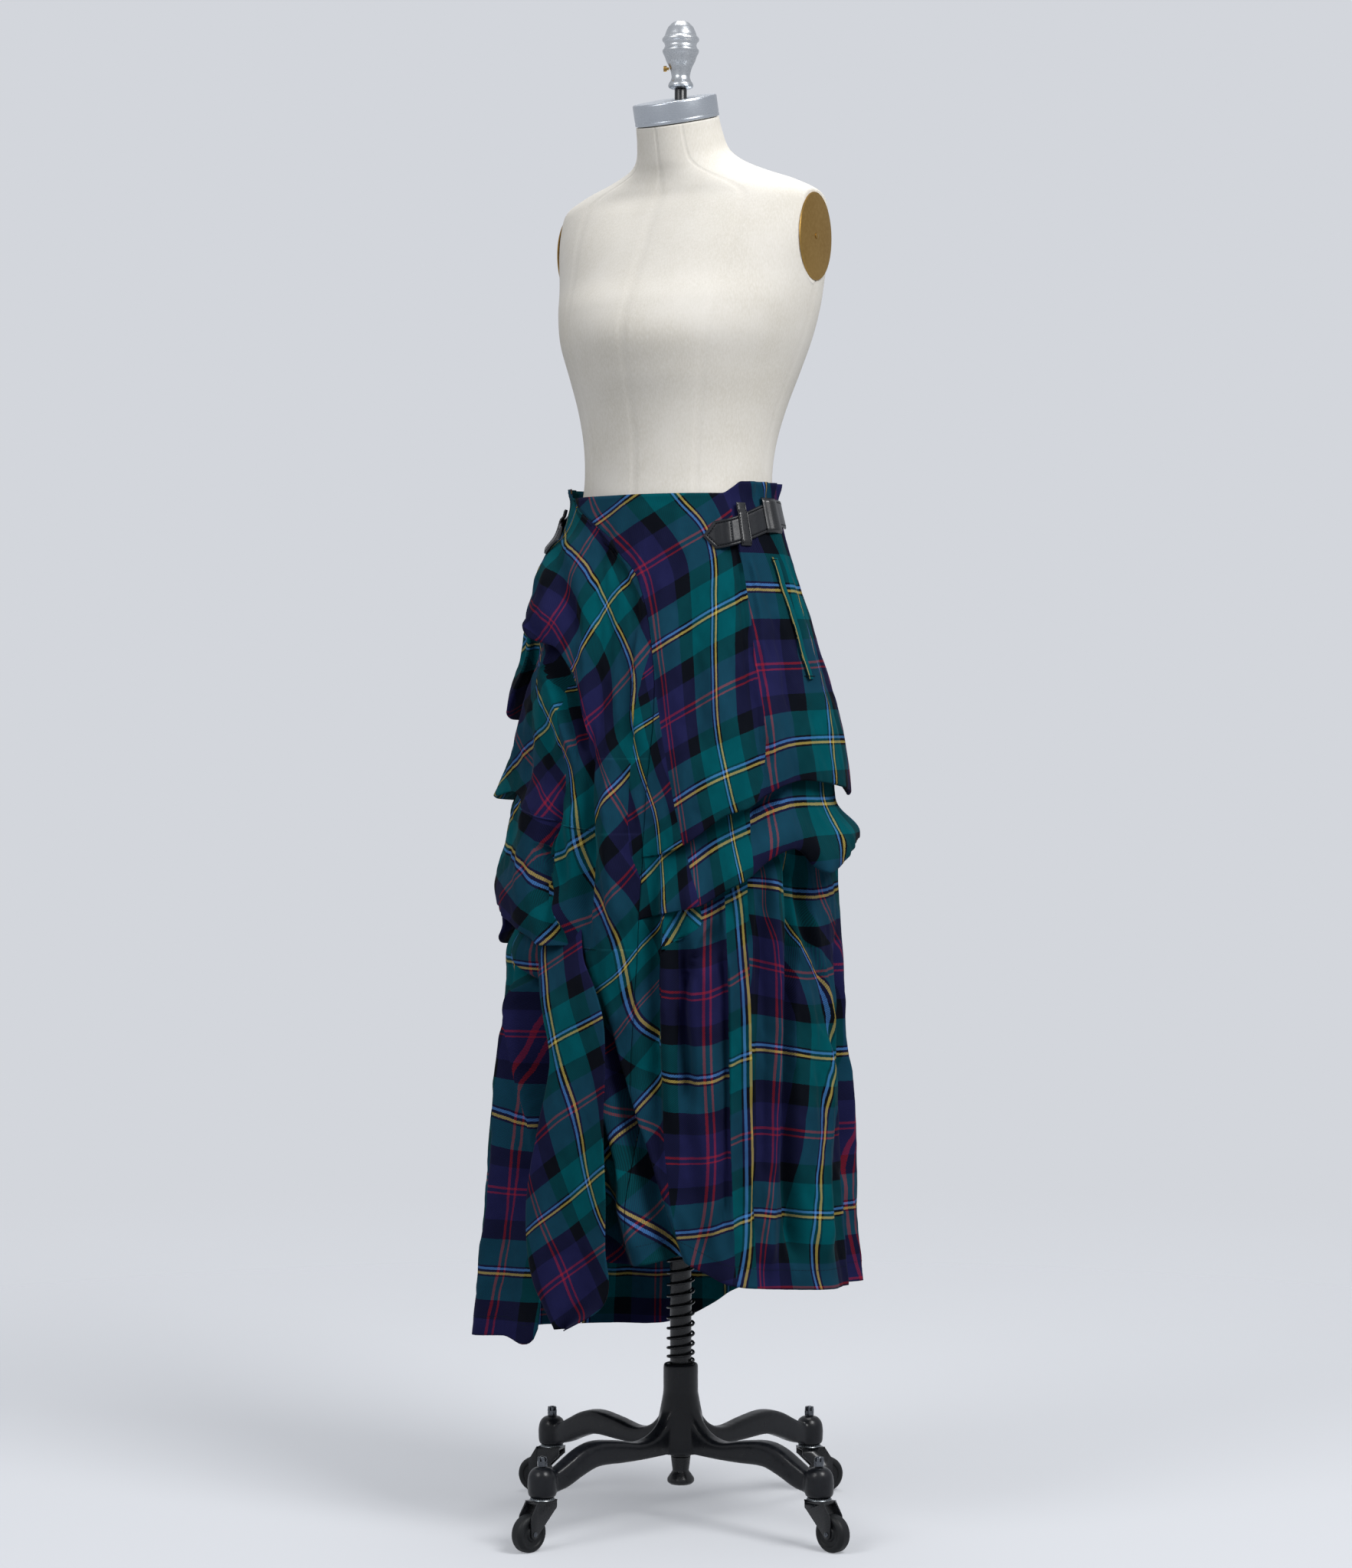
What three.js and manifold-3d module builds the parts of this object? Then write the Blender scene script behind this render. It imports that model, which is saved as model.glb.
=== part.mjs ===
// A draped tartan wrap skirt on a limbless dress form with a cast-iron caster stand.
// Millimetres, +Z up, the form's front faces -Y and its left side +X. The floor is z = 0.
// The origin is the centre of the whole thing's footprint box, on the floor.
import * as THREE from "three";
import { mergeVertices } from "three/addons/utils/BufferGeometryUtils.js";
import Module from "manifold-3d";

const wasm = await Module();
wasm.setup();

// ---------- driving dimensions ----------
const seamGap = 0.4; // between pieces that are sewn or fitted together
const clothThickness = 2;
const hubTop = 186;
const hubUnderside = 80;
const hubRadius = 20.5;
const poleRadius = 12.6;
const poleTop = 1632;
const finialFoot = 1681.5;
const spigotRadius = 7.2; // the thin top of the pole, which the finial screws on
const formBottom = 960;
const formWall = 6;
const baseTurn = 34; // the stand's four arms stand at 45 degrees to this direction
const armReach = 222; // from the pole to each caster stem
const wheelRadius = 21.5;
const wheelWidth = 17;
const casterTrail = 21;

const colours = {
  tartan: 0x1c3f46,
  canvas: 0xe4ded0,
  leather: 0x1c1c1f,
  zinc: 0xa9adb1,
  steel: 0x8f979e,
  brass: 0xa98544,
  iron: 0x17181a,
  wood: 0xb08a5c,
  wheel: 0x2a2b2d,
};
const finishes = {
  tartan: [0.9, 0],
  canvas: [0.85, 0],
  leather: [0.4, 0],
  zinc: [0.45, 0.9],
  steel: [0.25, 1],
  brass: [0.4, 0.8],
  iron: [0.35, 0.3],
  wood: [0.7, 0],
  wheel: [0.5, 0],
};

// ---------- small helpers ----------
const radians = THREE.MathUtils.degToRad;
const mix = THREE.MathUtils.lerp;
const clamp = THREE.MathUtils.clamp;
const smooth = (x, from, to) => {
  const t = clamp((x - from) / (to - from), 0, 1);
  return t * t * (3 - 2 * t);
};

// Reads a column of a table whose rows are sorted by `key`, with a smooth curve between the rows.
function along(table, key, at, column) {
  const rising = table[0][key] < table[table.length - 1][key];
  const rows = rising ? table : [...table].reverse();
  if (at <= rows[0][key]) return rows[0][column];
  const last = rows[rows.length - 1];
  if (at >= last[key]) return last[column];
  const i = rows.findIndex((row) => row[key] > at) - 1;
  const near = (k) => rows[clamp(k, 0, rows.length - 1)];
  const slope = (k) => {
    const before = near(k - 1);
    const after = near(k + 1);
    return (after[column] - before[column]) / (after[key] - before[key]);
  };
  const a = rows[i];
  const b = rows[i + 1];
  const span = b[key] - a[key];
  const t = (at - a[key]) / span;
  const rest = 1 - t;
  return (
    (1 + 2 * t) * rest * rest * a[column] +
    t * rest * rest * span * slope(i) +
    t * t * (3 - 2 * t) * b[column] -
    t * t * rest * span * slope(i + 1)
  );
}
const table = (columns, ...rows) => rows.map((row) => Object.fromEntries(columns.map((name, i) => [name, row[i]])));

function toSolid(geometry) {
  const bare = geometry.clone();
  bare.deleteAttribute("normal");
  bare.deleteAttribute("uv");
  const merged = mergeVertices(bare, 1e-4);
  return new wasm.Manifold(
    new wasm.Mesh({
      numProp: 3,
      vertProperties: new Float32Array(merged.attributes.position.array),
      triVerts: new Uint32Array(merged.index.array),
    }),
  );
}
function toGeometry(solid) {
  const bodies = solid.decompose().sort((a, b) => b.volume() - a.volume());
  const mesh = bodies[0].getMesh();
  const geometry = new THREE.BufferGeometry();
  geometry.setAttribute("position", new THREE.BufferAttribute(new Float32Array(mesh.vertProperties), 3));
  geometry.setIndex(new THREE.BufferAttribute(new Uint32Array(mesh.triVerts), 1));
  return geometry;
}

const part = new THREE.Group();
function addPiece(name, finish, geometry, parent = part) {
  const [roughness, metalness] = finishes[finish];
  const shaded = geometry.index ? geometry.toNonIndexed() : geometry;
  shaded.computeVertexNormals();
  const material = new THREE.MeshStandardMaterial({ color: colours[finish], roughness, metalness });
  const mesh = new THREE.Mesh(shaded, material);
  mesh.name = name;
  parent.add(mesh);
  return mesh;
}

// Closes a grid of outer points into a sheet: the inner face lies `thickness` inside along the normals.
function sheet(grid, thickness) {
  const rows = grid.length;
  const columns = grid[0].length;
  const inner = grid.map((row, i) =>
    row.map((point, j) => {
      const up = grid[Math.max(i - 1, 0)][j];
      const down = grid[Math.min(i + 1, rows - 1)][j];
      const left = row[Math.max(j - 1, 0)];
      const right = row[Math.min(j + 1, columns - 1)];
      const across = right.clone().sub(left);
      const down1 = down.clone().sub(up);
      const normal = across.cross(down1).normalize();
      return point.clone().addScaledVector(normal, thickness);
    }),
  );
  const points = [...grid.flat(), ...inner.flat()];
  const offset = rows * columns;
  const faces = [];
  const quad = (a, b, c, d) => faces.push(a, b, c, a, c, d);
  const at = (i, j) => i * columns + j;
  for (let i = 0; i < rows - 1; i++) {
    for (let j = 0; j < columns - 1; j++) {
      quad(at(i, j), at(i + 1, j), at(i + 1, j + 1), at(i, j + 1));
      quad(offset + at(i, j), offset + at(i, j + 1), offset + at(i + 1, j + 1), offset + at(i + 1, j));
    }
  }
  for (let j = 0; j < columns - 1; j++) {
    const last = rows - 1;
    quad(at(0, j), at(0, j + 1), offset + at(0, j + 1), offset + at(0, j));
    quad(at(last, j + 1), at(last, j), offset + at(last, j), offset + at(last, j + 1));
  }
  for (let i = 0; i < rows - 1; i++) {
    const last = columns - 1;
    quad(at(i + 1, 0), at(i, 0), offset + at(i, 0), offset + at(i + 1, 0));
    quad(at(i, last), at(i + 1, last), offset + at(i + 1, last), offset + at(i, last));
  }
  const geometry = new THREE.BufferGeometry();
  const flat = points.flatMap((p) => [p.x, p.y, p.z]);
  geometry.setAttribute("position", new THREE.BufferAttribute(new Float32Array(flat), 3));
  geometry.setIndex(faces);
  return geometry;
}

// A body of stacked closed rings, each an array of points, capped at both ends.
function loft(rings) {
  const count = rings[0].length;
  const points = rings.flat();
  const faces = [];
  for (let i = 0; i < rings.length - 1; i++) {
    for (let j = 0; j < count; j++) {
      const next = (j + 1) % count;
      const a = i * count + j;
      const b = i * count + next;
      faces.push(a, b, b + count, a, b + count, a + count);
    }
  }
  const cap = (start, up) => {
    for (let j = 1; j < count - 1; j++) {
      if (up) faces.push(start, start + j, start + j + 1);
      else faces.push(start, start + j + 1, start + j);
    }
  };
  cap(0, false);
  cap((rings.length - 1) * count, true);
  const geometry = new THREE.BufferGeometry();
  const flat = points.flatMap((p) => [p.x, p.y, p.z]);
  geometry.setAttribute("position", new THREE.BufferAttribute(new Float32Array(flat), 3));
  geometry.setIndex(faces);
  return geometry;
}

// A body turned about the z axis from [radius, z] pairs, listed from the bottom to the top.
function turned(profile, segments) {
  const outline = profile.map(([radius, z]) => new THREE.Vector2(Math.max(radius, 0), z));
  return new THREE.LatheGeometry(outline, segments).rotateX(Math.PI / 2);
}

// ---------- dress form ----------
// Rings of the torso and neck: half width, depth in front and behind the centre, centre moved back, forward tilt.
const formRings = table(
  ["z", "side", "front", "back", "shift", "tilt"],
  [960, 170, 118, 122, 0, 0],
  [1010, 167, 119, 115, 0, 0],
  [1060, 157, 114, 105, -1, 0],
  [1110, 144, 105, 95, -3, 0],
  [1160, 130, 97, 89, -5, 0],
  [1200, 120.5, 92, 87, -6, 0],
  [1228, 118, 91, 88, -5, 0],
  [1265, 121, 96, 91, -1, 0],
  [1305, 130, 108, 97, 5, 0],
  [1345, 143, 126, 103, 12, 0],
  [1385, 157, 139, 108, 17, 0],
  [1420, 166, 133, 111, 20, 0],
  [1455, 172, 116, 110, 22, 0],
  [1500, 180, 97, 102, 24, 0],
  [1532, 180, 80, 90, 24, 0],
  [1552, 172, 69, 78, 23, 2],
  [1568, 140, 62, 66, 19, 6],
  [1580, 104, 57, 59, 15, 9],
  [1592, 73, 53, 55, 10, 12],
  [1604, 57, 50, 52, 4, 14],
  [1624, 51, 48, 49, -2, 15],
  [1643, 49, 47, 47, -7, 15],
);
const armCut = 170; // the torso is cut flat here for the arm plates

function formPoint(row, turn, inset = 0) {
  const angle = radians(turn);
  const depth = Math.cos(angle) > 0 ? row.front : row.back;
  const y = -(depth - inset) * Math.cos(angle);
  const x = (row.side - inset) * Math.sin(angle);
  return new THREE.Vector3(x, y + row.shift, row.z + y * Math.tan(radians(row.tilt)));
}
function formRow(z) {
  const row = { z };
  for (const column of ["side", "front", "back", "shift", "tilt"]) row[column] = along(formRings, "z", z, column);
  return row;
}
function ringOf(row, count, inset) {
  return Array.from({ length: count }, (_, i) => formPoint(row, (i * 360) / count, inset));
}

function makeForm() {
  const rings = formRings.map((row) => ringOf(row, 34, 0));
  const outer = toSolid(loft(rings));
  const hollowRows = [950, 1010, 1110, 1228, 1345, 1420, 1500, 1540].map((z) => ({ ...formRow(z), tilt: 0 }));
  const hollow = toSolid(loft(hollowRows.map((row) => ringOf({ ...row, side: Math.min(row.side, armCut) }, 16, formWall + 3))));
  const cut = toSolid(new THREE.BoxGeometry(2 * armCut, 600, 1800).translate(0, 0, 1000));
  const bore = toSolid(turned([[0, 1400], [poleRadius + 0.8, 1400], [poleRadius + 0.8, 1700], [0, 1700]], 16));
  addPiece("form_torso", "canvas", toGeometry(outer.intersect(cut).subtract(hollow).subtract(bore)));
  // bottom board: a disc with a hole for the pole
  const board = { ...formRow(formBottom), z: formBottom - 9 };
  const boardTop = { ...board, z: formBottom - seamGap };
  const disc = toSolid(loft([ringOf(board, 28, 4), ringOf(boardTop, 28, 4)]));
  const hole = toSolid(turned([[0, 900], [poleRadius + 0.8, 900], [poleRadius + 0.8, 1000], [0, 1000]], 16));
  addPiece("form_bottom_board", "wood", toGeometry(disc.subtract(hole)));
}

// ---------- neck cap, finial and arm plates ----------
function makeCapAndFinial() {
  const top = formRings[formRings.length - 1];
  const capHeight = 25;
  const radius = top.side + 0.6;
  const cap = turned([[0, 0], [radius, 0], [radius, capHeight - 1.5], [radius - 1.5, capHeight], [0, capHeight]], 24);
  const hole = turned([[0, -60], [spigotRadius + 1, -60], [spigotRadius + 1, 90], [0, 90]], 16);
  cap.rotateX(radians(top.tilt)).translate(0, top.shift, top.z + seamGap);
  hole.translate(0, 0, top.z);
  addPiece("neck_cap", "steel", toGeometry(toSolid(cap).subtract(toSolid(hole))));

  const profile = table(
    ["radius", "height"],
    [0, 0], [7.5, 0], [13.5, 1.5], [15, 3.7], [14.2, 6.7], [12, 9.7], [10.5, 14.2], [11.6, 20.2], [13.4, 26.1], [16.7, 32.1],
    [18.7, 38.1], [21, 42.6], [21.7, 45.3], [20, 47], [18.2, 50.8], [19.4, 54.5], [21.7, 56.8], [21.7, 59.3], [19, 62],
    [17.6, 66.5], [15, 72.5], [9, 78.4], [0, 81.1],
  );
  addPiece("finial", "zinc", turned(profile.map((p) => [p.radius, finialFoot + p.height]), 14));
  const screw = turned([[0, 0], [3.2, 0], [3.2, 6], [0, 6]], 6);
  screw.rotateY(-Math.PI / 2).rotateZ(radians(baseTurn)).translate(
    -14.2 * Math.cos(radians(baseTurn)),
    -14.2 * Math.sin(radians(baseTurn)),
    finialFoot + 24,
  );
  addPiece("finial_set_screw", "brass", screw);
}

function makeArmPlates() {
  const plate = { width: 34, height: 51, thickness: 3, y: 24, z: 1499 };
  for (const side of [-1, 1]) {
    const rings = [seamGap, plate.thickness].map((out, k) =>
      Array.from({ length: 24 }, (_, i) => {
        const angle = (side * i * 2 * Math.PI) / 24;
        const shrink = k * 1.5;
        return new THREE.Vector3(
          side * (armCut + out),
          plate.y + (plate.width - shrink) * Math.cos(angle),
          plate.z + (plate.height - shrink) * Math.sin(angle),
        );
      }),
    );
    addPiece(side > 0 ? "arm_plate_left" : "arm_plate_right", "brass", loft(rings));
  }
}

// ---------- pole, spring and foot ----------
const springWire = 1.6; // radius of the wire
const springTop = 340;
const springTurns = 12;
function makePole() {
  const spigotTop = finialFoot - seamGap;
  const collar = springTop + springWire + 0.8; // the spring's upper end bears on it
  const profile = [
    [0, 76], [poleRadius, 76], [poleRadius, collar], [17, collar + 0.6], [17, collar + 9], [poleRadius, collar + 10],
    [poleRadius, poleTop], [spigotRadius, poleTop + 4], [spigotRadius, spigotTop], [0, spigotTop],
  ];
  const hollow = turned([[0, 70], [poleRadius - 2.6, 70], [poleRadius - 2.6, poleTop - 30], [0, poleTop - 30]], 10);
  const pole = toGeometry(toSolid(turned(profile, 20)).subtract(toSolid(hollow)));
  addPiece("pole", "iron", pole);
  const foot = turned([[0, 43], [13, 43], [16, 46], [16, 49.5], [13, 54], [9.6, 58.5], [11.7, 75.6], [0, 75.6]], 18);
  addPiece("pole_foot", "iron", foot);
}

// The coils sit close together at the foot and open out above.
function makeSpring() {
  const from = hubTop + springWire + 0.4;
  const stepsPerTurn = 9;
  const sides = 4;
  const radius = poleRadius + springWire + 1.1;
  const rings = Array.from({ length: stepsPerTurn * springTurns + 1 }, (_, i) => {
    const turns = i / stepsPerTurn;
    const angle = 2 * Math.PI * turns;
    const height = from + (springTop - from) * (0.03 * turns + (1 - 0.03 * springTurns) * Math.pow(turns / springTurns, 1.25));
    const out = new THREE.Vector3(Math.cos(angle), Math.sin(angle), 0);
    return Array.from({ length: sides }, (_, k) => {
      const around = (2 * Math.PI * k) / sides + Math.PI / 4;
      const point = out.clone().multiplyScalar(radius + springWire * Math.cos(around));
      return point.setZ(height - springWire * Math.sin(around));
    });
  });
  addPiece("spring", "iron", loft(rings));
}

// ---------- cast-iron base ----------
const armRows = table(
  ["reach", "low", "high", "half"],
  [10, 81, 150, 10],
  [28, 81, 124, 10],
  [45, 81, 108, 10.5],
  [70, 81, 102, 11],
  [105, 82, 108, 11.5],
  [140, 83, 112, 11.5],
  [165, 76, 107, 11.5],
  [190, 66, 95, 11],
  [212, 62, 84, 9],
);
function armRing(row) {
  const bevel = 3.5;
  const outline = [
    [-row.half + bevel, row.low], [row.half - bevel, row.low], [row.half, row.low + bevel], [row.half, row.high - bevel],
    [row.half - bevel, row.high], [-row.half + bevel, row.high], [-row.half, row.high - bevel], [-row.half, row.low + bevel],
  ];
  return outline.map(([across, z]) => new THREE.Vector3(row.reach, across, z));
}
const stemTop = 94;
const stemLow = 60;
function makeBase() {
  const hub = [[0, hubUnderside], [24, hubUnderside], [28, 84], [28.5, 100], [26.5, 120], [23, 138], [hubRadius, 152],
    [hubRadius, hubTop - 2], [hubRadius - 2, hubTop], [0, hubTop]];
  let base = toSolid(turned(hub, 18));
  for (let k = 0; k < 4; k++) {
    const turn = radians(baseTurn + 45 + 90 * k);
    const arm = toSolid(loft(armRows.map(armRing)).rotateZ(turn));
    const stem = turned([[0, stemLow], [15, stemLow], [16.5, 63], [17, 76], [16, 85], [12, 91.5], [7, stemTop], [0, stemTop]], 12);
    stem.translate(armReach, 0, 0).rotateZ(turn);
    base = base.add(arm).add(toSolid(stem));
  }
  const bore = turned([[0, 20], [poleRadius + 0.6, 20], [poleRadius + 0.6, 300], [0, 300]], 20);
  addPiece("base_casting", "iron", toGeometry(base.subtract(toSolid(bore))));
}

// ---------- casters ----------
// The way each caster trails, measured from the baseTurn direction.
const casters = table(
  ["name", "arm", "trail"],
  ["front_left", 2, 225],
  ["front_right", 3, 315],
  ["rear_right", 0, 20],
  ["rear_left", 1, 160],
);
const forkTop = stemLow - 3.5;
const wheelPlay = 0.5;
function makeCaster({ name, arm, trail }) {
  const stemTurn = radians(baseTurn + 45 + 90 * arm);
  const group = new THREE.Group();
  group.position.set(armReach * Math.cos(stemTurn), armReach * Math.sin(stemTurn), 0);
  group.rotation.z = radians(baseTurn + trail);
  part.add(group);
  const nut = turned([[0, stemTop + seamGap], [5.6, stemTop + seamGap], [6.2, 97], [5.6, 105], [0, 106]], 8);
  addPiece("stem_nut_" + name, "iron", nut, group);
  const bearing = [[0, forkTop + seamGap], [12, forkTop + seamGap], [14.5, forkTop + 1.6], [12.5, stemLow - seamGap], [0, stemLow - seamGap]];
  addPiece("bearing_ring_" + name, "zinc", turned(bearing, 18), group);
  // fork: a plate under the bearing and two cheeks that slant down to the axle
  const cheek = new THREE.Shape();
  cheek.moveTo(-13, forkTop);
  cheek.lineTo(-13, forkTop - 9);
  cheek.lineTo(casterTrail - 5.5, wheelRadius - 2);
  cheek.absarc(casterTrail, wheelRadius, 5.5, radians(200), radians(340), false);
  cheek.lineTo(casterTrail + 6, wheelRadius + 14);
  cheek.lineTo(16, forkTop);
  const thickness = 1.8;
  const inside = wheelWidth / 2 + wheelPlay;
  const makeCheek = (y) =>
    toSolid(
      new THREE.ExtrudeGeometry(cheek, { depth: thickness, bevelEnabled: false, curveSegments: 3 })
        .rotateX(Math.PI / 2)
        .translate(0, y + thickness, 0),
    );
  const plate = toSolid(new THREE.BoxGeometry(29, 2 * (inside + thickness), 3).translate(1.5, 0, forkTop - 1.5));
  const axle = toSolid(turned([[0, -inside - 3.2], [2.6, -inside - 3.2], [2.6, inside + 3.2], [0, inside + 3.2]], 8)
    .rotateX(Math.PI / 2).translate(casterTrail, 0, wheelRadius));
  const fork = makeCheek(inside).add(makeCheek(-inside - thickness)).add(plate).add(axle);
  addPiece("fork_" + name, "iron", toGeometry(fork), group);
  const half = wheelWidth / 2;
  const bore = 3;
  const rim = [[bore, -half + 2], [8, -half + 2], [10, -half], [wheelRadius - 3, -half], [wheelRadius, -half + 3],
    [wheelRadius, half - 3], [wheelRadius - 3, half], [10, half], [8, half - 2], [bore, half - 2], [bore, -half + 2]];
  const wheel = turned(rim, 18).rotateX(Math.PI / 2).rotateY(radians(10));
  wheel.translate(casterTrail, 0, wheelRadius);
  addPiece("wheel_" + name, "wheel", wheel, group);
}

// ---------- skirt ----------
// The hanging shape of the cloth without its folds. `turn` runs from the front, 90 is the wearer's left.
// `ease` is the fuller cloth on the wearer's right side.
const skirtRings = table(
  ["z", "side", "front", "back", "shift", "ease"],
  [1216, 126, 93, 94, -5.6, 10],
  [1200, 125, 94, 93, -6, 10],
  [1185, 127.5, 98, 94.5, -5.8, 10],
  [1160, 133.5, 105, 98, -5, 12],
  [1143, 138, 109, 100, -5, 20],
  [1110, 147, 116, 104, -4, 24],
  [1088, 153, 122, 109, -4, 18],
  [1060, 161, 128, 115, -4, 16],
  [1023, 168, 136, 119, -4, 6],
  [958, 182, 146, 133, -5, 6],
  [880, 194, 156, 146, -8, -3],
  [831, 199, 161, 151, -9, 8],
  [765, 200, 164, 151, -9, 3],
  [706, 204, 167, 154, -9, -7],
  [674, 206, 168, 156, -9, 5],
  [640, 209, 169, 157, -9, 3],
  [560, 213, 173, 160, -9, 8],
  [480, 218, 178, 164, -10, 12],
  [400, 223, 181, 168, -10, 15],
  [300, 232, 184, 175, -10, 16],
  [200, 240, 188, 181, -10, 18],
);
const easeAt = (turn) => smooth(-turn, 8, 40) * (1 - smooth(-turn, 95, 150));
// Keeps the cloth off the form and its bottom board.
function clearOfForm(point) {
  if (point.z < formBottom - 30) return point;
  const row = formRow(Math.max(point.z, formBottom));
  const room = clothThickness + mix(2.2, 0.75, smooth(point.z, 1180, 1198));
  const y = point.y - row.shift;
  const reach = Math.hypot(point.x / (row.side + room), y / ((y < 0 ? row.front : row.back) + room));
  if (reach < 1) point.set(point.x / reach, row.shift + y / reach, point.z);
  return point;
}
function skirtPoint(turn, z, lift = 0) {
  const angle = radians(turn);
  const out = lift + along(skirtRings, "z", z, "ease") * easeAt(turn > 180 ? turn - 360 : turn);
  const side = along(skirtRings, "z", z, "side");
  const front = along(skirtRings, "z", z, "front");
  const back = along(skirtRings, "z", z, "back");
  const share = smooth(Math.cos(angle), -0.25, 0.25);
  const depth = mix(back, front, share);
  const x = side * Math.sin(angle);
  const y = -depth * Math.cos(angle);
  const normal = new THREE.Vector2(x / (side * side), y / (depth * depth)).normalize();
  const shift = along(skirtRings, "z", z, "shift");
  return clearOfForm(new THREE.Vector3(x + normal.x * out, y + normal.y * out + shift, z));
}

// Soft folds: a ridge (depth above 0) or trough that runs from one turn and height to another.
// `lean` above 0 makes the side of the larger turn the steep one.
function foldsAt(folds, turn, z) {
  let out = 0;
  for (const fold of folds) {
    const t = (fold.top - z) / (fold.top - fold.foot);
    if (t < -0.15 || t > 1.15) continue;
    const centre = mix(fold.topTurn, fold.footTurn, t) + fold.bow * 4 * t * (1 - t);
    const width = mix(fold.topWidth, fold.footWidth, clamp(t, 0, 1));
    const off = (turn - centre) / (width * (turn > centre ? 1 - 0.8 * Math.max(fold.lean, 0) : 1 + 0.8 * Math.min(fold.lean, 0)));
    if (Math.abs(off) > 1) continue;
    const fade = fold.topOpen ? 1 : smooth(t, -0.15, 0.25);
    const end = fold.footOpen ? 1 : smooth(1.15 - t, 0, 0.4);
    out += fold.depth * (0.5 + 0.5 * Math.cos(Math.PI * off)) * fade * end;
  }
  return out;
}
const foldColumns = ["top", "topTurn", "foot", "footTurn", "bow", "topWidth", "footWidth", "depth", "lean", "topOpen", "footOpen"];

// The seam that joins the two front panels crosses from the right hip to the front and then falls.
const frontSeam = table(
  ["z", "turn"],
  [1225, -60], [1200, -46], [1165, -20], [1130, -2], [1105, 8], [1055, 15], [980, 19], [850, 18], [700, 16], [560, 14], [200, 14],
);
const seamTurn = (z) => along(frontSeam, "z", z, "turn");
const sideSeam = 122;

// The top edge: level in front, higher where it is gathered under the side straps.
function waistHeight(turn) {
  const side = Math.abs(turn);
  const gathered = smooth(side, 52, 66) * (1 - smooth(side, 118, 130));
  return mix(1201, 1215, gathered);
}
const gatherWave = (turn, z) => smooth(z, 1188, 1212) * 3.2 * (0.5 + 0.5 * Math.cos(radians(turn * 30)))
  * smooth(Math.abs(turn), 56, 66) * (1 - smooth(Math.abs(turn), 114, 124));

// Each tuck of a side panel: the height of its lower edge and how far that edge stands out, by turn.
const leftTucks = [
  table(["turn", "edge", "lip"], [14, 785, 0], [24, 790, 5], [33, 802, 14], [45, 832, 20], [53, 841, 21], [60, 856, 20],
    [67, 867, 17], [77, 872, 15], [100, 864, 19], [122, 854, 20]),
  table(["turn", "edge", "lip"], [14, 715, 0], [24, 722, 6], [38, 733, 16], [45, 748, 22], [52, 761, 24], [61, 785, 24],
    [68, 795, 26], [73, 790, 28], [80, 764, 34], [88, 768, 34], [96, 782, 32], [104, 797, 28], [122, 806, 22]),
];
const rightTucks = [
  table(["turn", "edge", "lip"], [-2, 900, 0], [-5, 912, 3], [-9, 966, 9], [-16, 1001, 15], [-23, 1024, 20], [-32, 1032, 24],
    [-44, 1050, 20], [-56, 1056, 12], [-66, 990, 20], [-75, 950, 34], [-90, 942, 36], [-122, 936, 30]),
  table(["turn", "edge", "lip"], [-2, 815, 0], [-40, 846, 0], [-52, 858, 8], [-62, 853, 24], [-75, 848, 30], [-122, 842, 26]),
  table(["turn", "edge", "lip"], [1, 684, 0], [-4, 684, 10], [-10, 684, 18], [-17, 682, 24], [-28, 698, 28], [-42, 712, 28],
    [-56, 723, 26], [-64, 712, 20], [-72, 682, 20], [-82, 674, 22], [-122, 668, 20]),
];
const leftHem = table(["turn", "z"], [14, 325], [24, 332], [29, 334], [37, 320], [44, 309], [58, 301], [77, 298], [122, 295]);
const rightHem = table(["turn", "z"], [-122, 201], [-85, 205], [-56, 220], [-30, 231], [-17, 237], [-15.2, 318], [14, 325]);
const backHem = table(["turn", "z"], [122, 295], [150, 293], [165, 285], [178, 264], [189, 246], [196, 228], [203, 213],
  [212, 204], [238, 201]);

const leftFolds = table(
  foldColumns,
  [1150, 64, 860, 58, 0, 7, 7, -9, 0.7, 0, 0],
  [780, 22, 440, 23, 0, 6, 7, -14, 0.8, 0, 0],
  [600, 4, 300, 31, 0, 7, 10, -34, 0.8, 0, 1],
  [770, 34, 300, 44, -3, 8, 12, 12, -0.6, 0, 1],
  [740, 57, 300, 62, 0, 8, 10, -8, 0.2, 0, 1],
  [790, 75, 560, 92, 0, 8, 9, -18, 0.7, 0, 0],
  [560, 74, 300, 80, 0, 10, 12, 10, 0.3, 0, 1],
  [690, 102, 300, 98, 0, 10, 10, -12, -0.4, 0, 1],
  [560, 112, 380, 116, 0, 12, 12, 8, 0, 0, 0],
);
const rightFolds = table(
  foldColumns,
  [1150, -40, 1040, -14, 0, 8, 8, -7, 0, 0, 0],
  [930, -5, 700, -3, 0, 6, 7, -14, 0.7, 0, 0],
  [840, -17, 730, -15, 0, 6, 8, -16, 0.2, 0, 0],
  [1010, -38, 740, -32, 6, 14, 16, 10, 0, 0, 0],
  [900, 4, 620, 7, 0, 9, 10, 6, 0, 0, 0],
  [680, -24, 300, -22, 0, 8, 12, -26, 0.3, 0, 1],
  [640, -13, 300, 22, 0, 7, 8, 8, 0, 0, 1],
  [560, -8, 300, 13, 0, 7, 8, -22, 0.2, 0, 1],
  [600, 4, 300, 31, 0, 7, 10, -34, 0.8, 0, 1],
  [660, -38, 220, -40, 0, 8, 12, 14, 0.2, 0, 1],
  [700, -52, 240, -54, 0, 9, 14, -10, 0, 0, 1],
  [640, -84, 220, -92, 0, 12, 16, -8, 0, 0, 1],
);
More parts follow.
